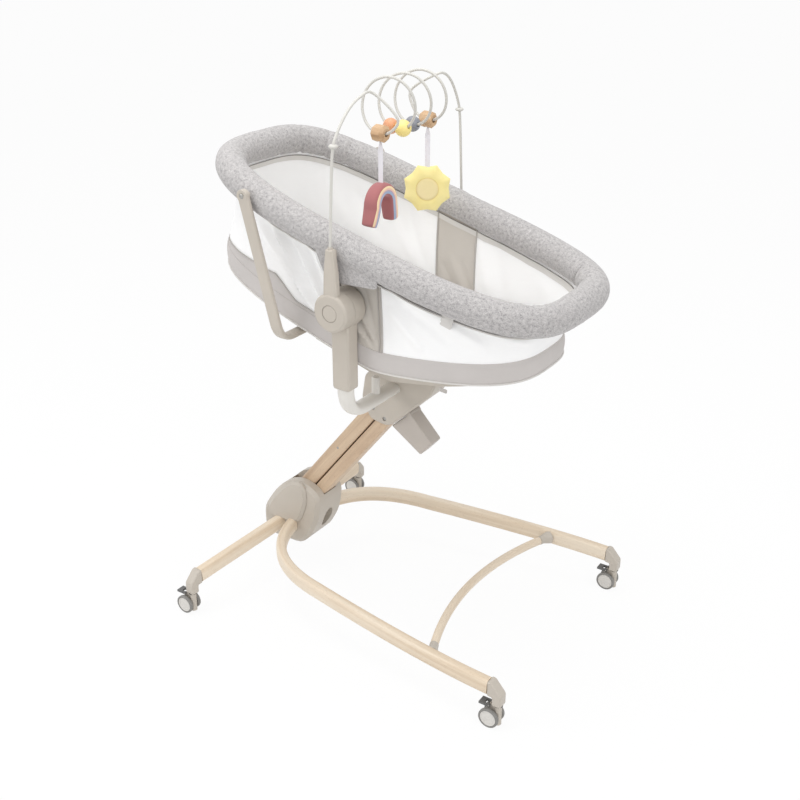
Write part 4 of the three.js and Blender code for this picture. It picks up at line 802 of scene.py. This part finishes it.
def ribbon(y, foot, lean=0.0):
    """Folded ribbon that widens and turns below its bead."""
    rings = []
    for z in np.linspace(KNOT_Z, foot, 26):
        way = (KNOT_Z - z) / (KNOT_Z - foot)
        half = 5.5 * (0.35 + 0.65 * min(1, way * 4))
        open_by = 0.7 + 0.35 * math.sin(math.pi * min(1, way * 1.4)) + 0.25 * math.sin(7 * way)
        turn = -math.pi / 2 * min(1, max(0, way - 0.13) * 6) + lean * way
        flat = turned(oval_section(open_by, half, 6, 20), turn)
        rings.append(np.column_stack([flat + [0, y], np.full(20, z)]))
    knot = lathe([(0, -5.4), (1.6, -5.4), (2.0, -4.8), (2.0, 4.8), (1.6, 5.4), (0, 5.4)], 18, (0, y, KNOT_Z))
    return lump(skin(rings), knot)


def arch_made():
    """A half round with two splayed legs and soft ends."""
    arch = [(30 * math.cos(a), 30 * math.sin(a)) for a in np.linspace(0, math.pi, 34)]
    path = [(35, -36), (34, -29), (32.6, -18), (31, -8), *arch,
            (-30.8, -6), (-32.8, -13), (-36.4, -23), (-42, -36)]
    line = even([[0, LOOP_Y + y, ARCH_Z + z] for y, z in path], 64)
    slimmer = 1 - 0.10 * np.abs(np.linspace(-1, 1, 64)) ** 8
    rings = sweep(line, oval_section(16.4, 13.4, 3.0, 40), ALONG, grow=slimmer)
    ends = []
    for end, inner in ((0, 1), (-1, -2)):
        middle = rings[end].mean(0)
        out = unit(line[end] - line[inner])
        ends.append([middle + (rings[end] - middle) * s + out * d
                     for s, d in ((0.93, 1.2), (0.78, 2.1), (0.5, 2.8), (0.2, 3.0))])
    return skin(np.concatenate([ends[0][::-1], rings, ends[1]]))


toy_arch = piece("soft_arch", arch_made(), ROSE, "arch", ride=False)

# Star with eight points, turned to the head end, and the stitched round middle on both faces
STAR_TURN, STAR_TIP, STAR_NOTCH, STAR_DISC = math.radians(33), 53.5, 46.5, 47.0
STAR_SECTION = ((0.04, 11.4), (0.2, 11.35), (0.36, 11.1), (0.47, 10.5), (0.505, 8.9), (0.54, 9.6),
                (0.64, 9.9), (0.76, 8.8), (0.87, 6.4), (0.95, 3.6), (0.99, 1.4), (1.0, 0.0))


def star_placed(verts):
    return np.column_stack([turned(verts, STAR_TURN), verts[:, 2]]) + [0, STAR_Y, STAR_Z]


def star_made(count=96):
    half_point = math.pi / 8
    angle = 2 * np.pi * np.arange(count) / count
    slant = np.abs(((angle / half_point - 1) / 2 + 0.5) % 1 - 0.5) * 2 * half_point
    edge = STAR_NOTCH * heading(half_point) - [STAR_TIP, 0]
    reach = STAR_TIP * edge[1] / (np.cos(slant) * edge[1] - np.sin(slant) * edge[0])
    solid = []
    for share, h in [*STAR_SECTION, *((share, -h) for share, h in STAR_SECTION[-2::-1])]:
        mix = min(1, max(0, (share - 0.5) / 0.25))
        r = share * (STAR_DISC * (1 - mix) + reach * mix)
        ripple = 0.35 * np.sin(angle * 8 + 1.0) * (abs(h) / 12) * np.clip((r - 24) / 8, 0, 1)
        solid.append(np.stack([r * np.cos(angle), h + ripple, r * np.sin(angle)], 1))
    verts, faces, threads = skin(solid)
    return star_placed(verts), faces, threads


def seam_ring(height, radius=23.8, thick=0.55):
    circle = 2 * np.pi * np.arange(72) / 72
    line = star_placed(np.stack([radius * np.cos(circle), np.full(72, height), radius * np.sin(circle)], 1))
    return rod(line, thick, 6, True, (-math.sin(STAR_TURN), math.cos(STAR_TURN), 0))


toy_star = piece("soft_star", star_made(), SUN, "star", ride=False, sharp=60)
piece("star_seam", lump(seam_ring(9.5), seam_ring(-9.5)), SUN_DISC, "star")
piece("ribbon_arch", ribbon(LOOP_Y, 992.5), RIBBON, "arch")
piece("ribbon_star", ribbon(STAR_Y, 1000.5, 0.35), RIBBON, "star")


# Rim sleeve: a padded tube with creases where it turns, and the two flaps
SLEEVE_LAP, SLEEVE_RADIUS, WRINKLES = 1980, 31.3, 46
SLEEVE_CREASES = [(0.052, 4.2), (0.083, 4.4), (0.385, 3.2), (0.412, 3.0), (0.445, 3.4), (0.478, 2.6),
                  (0.93, 2.4)]


def sleeve_made(count=440, facets=48):
    share = shares_of(count)
    flat = rim_at(share)
    line = np.column_stack([flat, rim_height(flat[:, 0])])
    section = oval_section(1, 1, 2, facets)
    t = tangents(line, True)
    a, b = square_to(t, UP)
    bend = np.linalg.norm(np.roll(t, -3, 0) - np.roll(t, 3, 0), axis=1)
    bend = np.convolve(np.concatenate([bend[-12:], bend, bend[:12]]), np.ones(13) / 13, "same")[12:-12]
    inward = unit(np.array([RIM_MIDDLE, 0, 0]) - line * [1, 1, 0])
    radius = np.full((count, facets), SLEEVE_RADIUS)
    angle = np.arctan2(section[:, 1], section[:, 0])

    def way_from(at):
        return (((share - at + 0.5) % 1 - 0.5) * SLEEVE_LAP)[:, None]

    for at in rng.uniform(0, 1, WRINKLES):
        strength, slope, width = rng.uniform(0.25, 0.8), rng.uniform(-9, 9), rng.uniform(4, 9)
        turn = (angle - rng.uniform(-math.pi, math.pi) + math.pi) % FULL - math.pi
        ridge_shape = np.exp(-((way_from(at) - slope * turn) / width) ** 2)
        radius += strength * ridge_shape * np.exp(-(turn / 0.9) ** 2)
    facing = ((rings_on(line, 31, section, a, b) - line[:, None]) * inward[:, None]).sum(2) / 31
    tight = np.clip((bend - 0.10) / 0.12, 0, 1)
    folds = np.sin(share * FULL * 96) * 0.6 + np.sin(share * FULL * 61 + 1.3) * 0.4
    radius += (tight * folds)[:, None] * np.clip(facing, 0, 1) * 1.7
    radius += 0.45 * np.sin(share * FULL * 7)[:, None]
    for at, depth in SLEEVE_CREASES:
        radius -= depth * np.exp(-(way_from(at) / 4.5) ** 2) * np.clip(facing + 0.35, 0, 1)
    return skin(rings_on(line, radius[:, :, None], section, a, b), True)


sleeve = piece("padded_sleeve", sleeve_made(), HEATHER, ride=False)


def flap_made(rows=16):
    """Flap of the sleeve, hanging in front of the wall."""
    sections = []
    for way in np.arange(rows + 1) / rows:
        left, right = -62 + 38 * way ** 0.8, 94 - 1.5 * way
        round_off = 1 - 0.10 * max(0, way - 0.86) / 0.14
        section = oval_section((right - left) / 2 * round_off, 2.1, 9, 48)
        x = (right + left) / 2 + section[:, 0]
        high = rim_height(x) - 6
        low = rim_height(0) - 66 + 0.02 * (x - 24)
        lean = 1.8 * math.sin(math.pi * way) + 0.5 * np.sin(x / 17.0) * way
        sections.append(np.column_stack([x, 224.6 + section[:, 1] + lean, high + (low - high) * way]))
    return skin(sections)


piece("sleeve_flaps", both(flap_made()), HEATHER)


# Walls of the basket, with the folds that the cloth is drawn into: start, end, height and width
def ridge(x, z, x0, z0, x1, z1, height, width):
    d = np.array([x1 - x0, z1 - z0], float)
    t = ((x - x0) * d[0] + (z - z0) * d[1]) / (d @ d)
    off = np.abs((x - x0) * d[1] - (z - z0) * d[0]) / math.hypot(*d)
    fade = np.clip(np.minimum(t, 1 - t) * 5, 0, 1) * (t > 0) * (t < 1)
    return height * np.exp(-(off / width) ** 2) * fade * fade * (3 - 2 * fade)


NEAR_FOLDS = [
    (-250, 925, -70, 745, 6.2, 7), (-222, 930, -60, 742, -5.4, 6), (-196, 926, -86, 742, 6.6, 7),
    (-165, 920, -64, 738, -5.8, 6), (-142, 912, -52, 745, 5.8, 6), (-110, 905, -44, 750, -5.4, 6),
    (-85, 895, -38, 765, 4.8, 6), (-300, 925, -190, 812, 5.8, 11), (-330, 940, -250, 835, -3.6, 9),
    (-20, 842, 70, 694, 4.18, 5), (-18, 800, 66, 692, -4.56, 5), (-10, 760, 62, 690, 4.56, 5),
    (30, 840, 70, 696, -3.8, 5), (100, 846, 300, 735, 11, 13), (120, 812, 236, 738, -9, 11),
    (84, 800, 170, 712, 9, 10), (210, 826, 352, 762, -8, 11), (86, 852, 150, 768, -3.8, 8),
    (270, 800, 360, 742, 7, 9),
]
FAR_FOLDS = [
    (-250, 925, -150, 780, 3.12, 14), (-180, 920, -80, 755, -2.86, 12), (-110, 900, -50, 745, 3.12, 12),
    (-15, 780, 30, 706, 3.38, 6), (5, 800, 55, 704, -2.86, 6), (30, 790, 70, 704, 2.86, 6),
    (84, 850, 110, 720, -4.42, 12), (120, 840, 150, 716, 3.38, 14), (190, 820, 300, 730, -3.12, 18),
    (-320, 950, -260, 830, -3.12, 14),
]
HEM_INSET, WALL_DRAW = 14, 4


def wall_grid(count=420, rows=30):
    """Columns of points down the wall, from the hem to the band."""
    shares = shares_of(count)
    above, below = rim_at(shares, HEM_INSET), base_at(shares, 2)
    grid = []
    for way in np.linspace(0, 1, rows + 1):
        flat = above + (below - above) * way
        inward = unit(np.array([BASE_MIDDLE, 0]) - flat)
        flat = flat + inward * (4 * WALL_DRAW * way * (1 - way))
        high = rim_height(flat[:, 0]) - RIM_DROP
        low = base_height(flat[:, 0]) + BAND_HEIGHT + 0.3
        z = high + (low - high) * way
        push = np.zeros(count)
        for folds, side in ((NEAR_FOLDS, flat[:, 1] < 0), (FAR_FOLDS, flat[:, 1] >= 0)):
            for fold in folds:
                push += side * ridge(flat[:, 0], z, *fold)
        ends = np.clip(np.minimum(way, 1 - way) * 9, 0, 1)
        push += 0.8 * np.sin(shares * FULL * 23 + 3 * way) * ends
        grid.append(np.column_stack([flat - inward * (push * ends)[:, None], z]))
    return np.array(grid).transpose(1, 0, 2)


def cut_sheet(name, low_x, high_x, side, mat, stands_for):
    """The wall between two planes across the basket."""
    ob = piece(name, skin(WALL, True, False), mat, ride=False)
    bm = bmesh.new()
    bm.from_mesh(ob.data)
    cuts = [((low_x + SHIFT) * 0.001, (-1, 0, 0)), ((high_x + SHIFT) * 0.001, (1, 0, 0)), (0, (0, -side, 0))]
    for x, normal in cuts if side else cuts[:2]:
        bmesh.ops.bisect_plane(bm, geom=bm.verts[:] + bm.edges[:] + bm.faces[:], plane_co=(x, 0, 0),
                               plane_no=normal, clear_outer=True)
    bm.to_mesh(ob.data)
    bm.free()
    ob.data.shade_smooth()
    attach(ob, "basket")
    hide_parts(stands_for)
    return ob


WALL = wall_grid()
GUSSET_HEAD, GUSSET_FOOT, BEYOND = -24.2, 74.2, 500
for name, low_x, high_x, side, mat, slot, width in (
        ("wall_head", -BEYOND, GUSSET_HEAD, 0, WHITE, "mesh_cloth", 1.17),
        ("wall_foot", GUSSET_FOOT, BEYOND, 0, WHITE, "mesh_cloth", 1.02),
        ("gusset_near", GUSSET_HEAD, GUSSET_FOOT, -1, PANEL, "band_cloth", 0.10),
        ("gusset_far", GUSSET_HEAD, GUSSET_FOOT, 1, PANEL, "band_cloth", 0.10)):
    sheet = cut_sheet(f"{name}_cloth", low_x, high_x, side, mat, name)


# Lines on the walls, on which piping, cords and tape are laid
def at_height(line, height, axis):
    """Where a line down the wall passes a height, along one axis."""
    return np.interp(-height, -line[:, 2], line[:, axis])


def wall_line(x, side, out):
    """A line down the wall at one place along the basket."""
    line = []
    for row in range(WALL.shape[1]):
        ring = WALL[:, row]
        keep = ring[ring[:, 1] * side > 0]
        keep = keep[np.argsort(keep[:, 0])]
        y, z = (np.interp(x, keep[:, 0], keep[:, i]) for i in (1, 2))
        line.append([x, y + side * out, z])
    return np.array(line)


def wall_belt(drop, out):
    """A line round the walls, a given way below the rim tube's middle."""
    line = []
    for column in WALL:
        x, y, z = (at_height(column, rim_height(column[0, 0]) - drop, i) for i in range(3))
        away = unit(np.array([x - BASE_MIDDLE, y]))
        line.append([x + away[0] * out, y + away[1] * out, z])
    return np.array(line)


# Piping down the gussets, with a thinner seam inside the near one, all on the wall's near face
cords = [rod(even(wall_line(x, side, -side), 40), thick, side=ALONG) for side, x, thick in (
    (-1, GUSSET_HEAD, 1.9), (-1, GUSSET_FOOT, 1.9), (-1, 67.5, 1.3),
    (1, GUSSET_HEAD, 1.9), (1, GUSSET_FOOT, 1.9))]
piece("gusset_piping", lump(*cords), PIPING)
piece("band_low_piping", rod(base_ring(400, -0.4, 1.4), 2.0, 10, True, UP), TRIM)

# Grey cloth outside the head wall, under a seam that climbs from the gusset to the head end
SEAM_X, SEAM_Z, SEAM_STEEP_RUN, SEAM_STEEP, SEAM_GENTLE, SEAM_END = -86, 717, 107, 0.888, 0.18, -372


def seam_height(x):
    back = np.maximum(SEAM_X - x, 0)
    climb = np.minimum(back, SEAM_STEEP_RUN) * SEAM_STEEP + np.maximum(back - SEAM_STEEP_RUN, 0) * SEAM_GENTLE
    return np.maximum(SEAM_Z + climb, base_height(x) + BAND_HEIGHT + 8)


def seam_line(side, out):
    line = []
    for x in np.linspace(SEAM_X + 1, SEAM_END, 70):
        high = float(seam_height(x))
        line.append([x, at_height(wall_line(x, side, out), high, 1), high])
    return even(line, 120)


def cover_made(rows=12):
    columns = []
    for column in WALL:
        if column[-1, 0] < -26:
            top = np.interp(0, seam_height(column[:, 0]) - column[:, 2], column[:, 2])
            levels = np.linspace(top, column[-1, 2], rows + 1)
            line = np.stack([at_height(column, levels, i) for i in range(3)], 1)
            columns.append(line + unit((line - [BASE_MIDDLE, 0, 0]) * [1, 1, 0]))
    return skin(np.array(columns), False, False)


cover = piece("head_wall_cover", cover_made(), BAND)
# Dark cord round the outside of the walls just below the sleeve: painted shadow of the gap between sleeve and
# wall
piece("rim_painted_shadow_cord", rod(wall_belt(42, 2.6), 1.1, 8, True, UP), SHADOW_CORD)
piece("rim_hem_cord", rod(wall_belt(46, 3.2), 2.0, 10, True, UP), TRIM)
piece("head_seam_piping", lump(*(rod(seam_line(side, 1.9), 1.5, side=(0, 1, 0)) for side in (-1, 1))), PIPING)

# Fabric band round the base, drawn over its edge: inset and share of its height
BAND_PROFILE = [(0.6, 0.02), (-1.2, 0.18), (-2.4, 0.38), (-2.6, 0.55), (-2.0, 0.75), (-0.8, 0.92), (0.6, 1.0),
                (2.4, 1.0), (4, 0.96), (3.4, 0.7), (2.8, 0.4), (3.6, 0.1), (4, 0.02), (2.2, 0.0)]


def band_made(count=400):
    way = shares_of(count) * FULL
    ripple = 0.5 * np.sin(way * 19) + 0.3 * np.sin(way * 43 + 1)
    rows = []
    for inset, share in BAND_PROFILE:
        ring = base_ring(count, inset, BAND_HEIGHT * share)
        if inset < 0.5:
            outward = unit(ring * [1, 1, 0] - [BASE_MIDDLE, 0, 0])
            ring = ring + outward * (ripple * math.sin(math.pi * share))[:, None]
        rows.append(ring)
    return skin(np.array(rows).transpose(1, 0, 2), True)


band = piece("band_cloth", band_made(), BAND, "basket", ["base_band"])


# Trim tape inside the rim, under the sleeve
tape = np.stack([wall_belt(drop, -1.5) for drop in (29, 33, 37, 41)], 1)
tape_ob = piece("inner_tape", skin(tape, True, False), TRIM)
# Dark cord inside the rim along the top of the tape: painted shadow under the sleeve
piece("inner_painted_shadow_cord", rod(wall_belt(29.5, -2.2), 0.9, 8, True, UP), SHADOW_CORD)


# Mattress: a crowned pad in a fitted cotton cover, by inset and share of its thickness
PAD_PROFILE = [(51, 0.0), (23, 0.0), (19.5, 0.08), (17.5, 0.3), (17.2, 0.55), (18.5, 0.8), (22.5, 0.97),
               (32, 1.06), (52, 1.13), (84, 1.18), (124, 1.21), (164, 1.22)]
BED, PAD_THICKNESS = 11.2, 36
pad = skin([base_ring(150, inset, BED + PAD_THICKNESS * share) for inset, share in PAD_PROFILE])
mattress = piece("mattress_pad", pad, SHEET, ride=False)


# Cloth simulation of the padded pieces: they swell against their own cloth and crease a little
def swell(ob, frames, pressure, cap, shrink=0.0):
    """Swell a piece under pressure, and cap how far each point moves."""
    rest = np.array([v.co for v in ob.data.vertices])
    cloth = ob.modifiers.new("cloth", "CLOTH")
    for key, value in {"quality": 5, "mass": 0.3, "use_pressure": True, "uniform_pressure_force": pressure,
                       "shrink_min": shrink, "tension_stiffness": 12, "compression_stiffness": 12,
                       "bending_stiffness": 0.4}.items():
        setattr(cloth.settings, key, value)
    cloth.settings.effector_weights.gravity = 0
    cloth.point_cache.frame_start, cloth.point_cache.frame_end = 1, frames
    for f in range(1, frames + 1):
        scene.frame_set(f)
    posed = ob.evaluated_get(bpy.context.evaluated_depsgraph_get())
    step = np.array([v.co for v in posed.to_mesh().vertices]) - rest
    posed.to_mesh_clear()
    ob.modifiers.remove(cloth)
    scene.frame_set(1)
    step *= np.minimum(1, cap / np.maximum(np.linalg.norm(step, axis=1, keepdims=True), 1e-9))
    ob.data.vertices.foreach_set("co", (rest + step).astype(np.float32).ravel())
    ob.data.update()


SOFT = ((mattress, "basket", ["mattress"], "white_cloth", 0.7, (20, 4.0, 0.006)),
        (toy_arch, "arch", ["toy_arch"], "toy_rose", 0.8, (12, 3.0, 0.0012, 0.02)),
        (toy_star, "star", ["toy_star"], "toy_yellow", 0.7, (12, 3.0, 0.0010, 0.02)),
        (sleeve, "basket", ["rim_sleeve"], "heather", 0.8, (16, 3.0, 0.0016, 0.03)))
for ob, *_, how in SOFT:
    swell(ob, *how)
for ob, body, nodes, slot_name, fill, _ in SOFT:
    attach(ob, body)
    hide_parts(*nodes)


# Small sewn-on parts of the basket
def small_slab(low, high, turn, ease=0.6):
    """A thin slab across Y with eased edges, turned in its plane."""
    low, high = np.array(low, float), np.array(high, float)
    middle, half = (low + high) / 2, (high - low) / 2
    small, rings = 1 - ease / half[0], []
    for y, s in ((-half[1], small), (-half[1] * 0.6, 1.0), (half[1] * 0.6, 1.0), (half[1], small)):
        flat = turned(oval_section(half[0] * s, half[2] * s, 8, 36), -turn)
        rings.append(middle + np.column_stack([flat[:, 0], np.full(36, y), flat[:, 1]]))
    return skin(rings)


tag_y = at_height(wall_line(222, -1, 4.0), 794, 1)
piece("side_tag", small_slab((209, tag_y - 0.8, 781), (235, tag_y + 0.8, 806), 0.28), TRIM)
piece("band_tab", small_slab((208, -182.4, 645), (224, -180.4, 653), 0.1), PIPING)


# Floor and world: both shine a little brighter where they are seen than where they light the scene
def seen_share(t):
    path = node(t, "LightPath").outputs
    seen = plus(t, plus(t, path["Is Camera Ray"], path["Is Glossy Ray"]), path["Is Transmission Ray"])
    return maths(t, "MINIMUM", seen, 1.0)


bpy.ops.mesh.primitive_circle_add(vertices=64, radius=30, fill_type="NGON", location=(0, 0, 0))
floor = bpy.context.object
floor.name = "floor"
m, t, where = material("floor_paper")
shader, output = t.nodes["Principled BSDF"], t.nodes["Material Output"]
feed(t, shader.inputs["Roughness"], 0.9)
feed(t, shader.inputs["Base Color"], between(t, noise(t, where, 0.6), rgb(243, 243, 243), rgb(247, 247, 247)))
glow = node(t, "Emission", {"Color": grey(1), "Strength": 1.0})
mixed = node(t, "MixShader", {0: times(t, seen_share(t), 0.93), 1: shader.outputs[0], 2: glow.outputs[0]})
feed(t, output.inputs[0], mixed.outputs[0])
floor.data.materials.append(m)

world = bpy.data.worlds.new("studio")
scene.world = world
world.use_nodes = True
t = world.node_tree
t.nodes.clear()
back = node(t, "Background", {"Color": grey(1), "Strength": mapped(t, seen_share(t), 0.64, 1.0)})
node(t, "OutputWorld", {0: back.outputs[0]})


def lamp(name, at, aim, size, watts):
    data = bpy.data.lights.new(name, "AREA")
    data.shape, data.size, data.energy = "DISK", size, watts
    ob = bpy.data.objects.new(name, data)
    ob.location = at
    way = Vector([a - b for a, b in zip(aim, at)])
    ob.rotation_euler = way.to_track_quat("-Z", "Y").to_euler()
    scene.collection.objects.link(ob)


lamp("top", (-0.3, -0.2, 3.2), (0, 0, 0.6), 2.6, 44)
lamp("front_left", (-2.2, -2.6, 2.0), (0, 0, 0.6), 2.2, 26)
lamp("front_right", (2.6, -1.4, 2.5), (-0.2, 0, 0.8), 2.2, 30)
scene.view_settings.view_transform = "Standard"
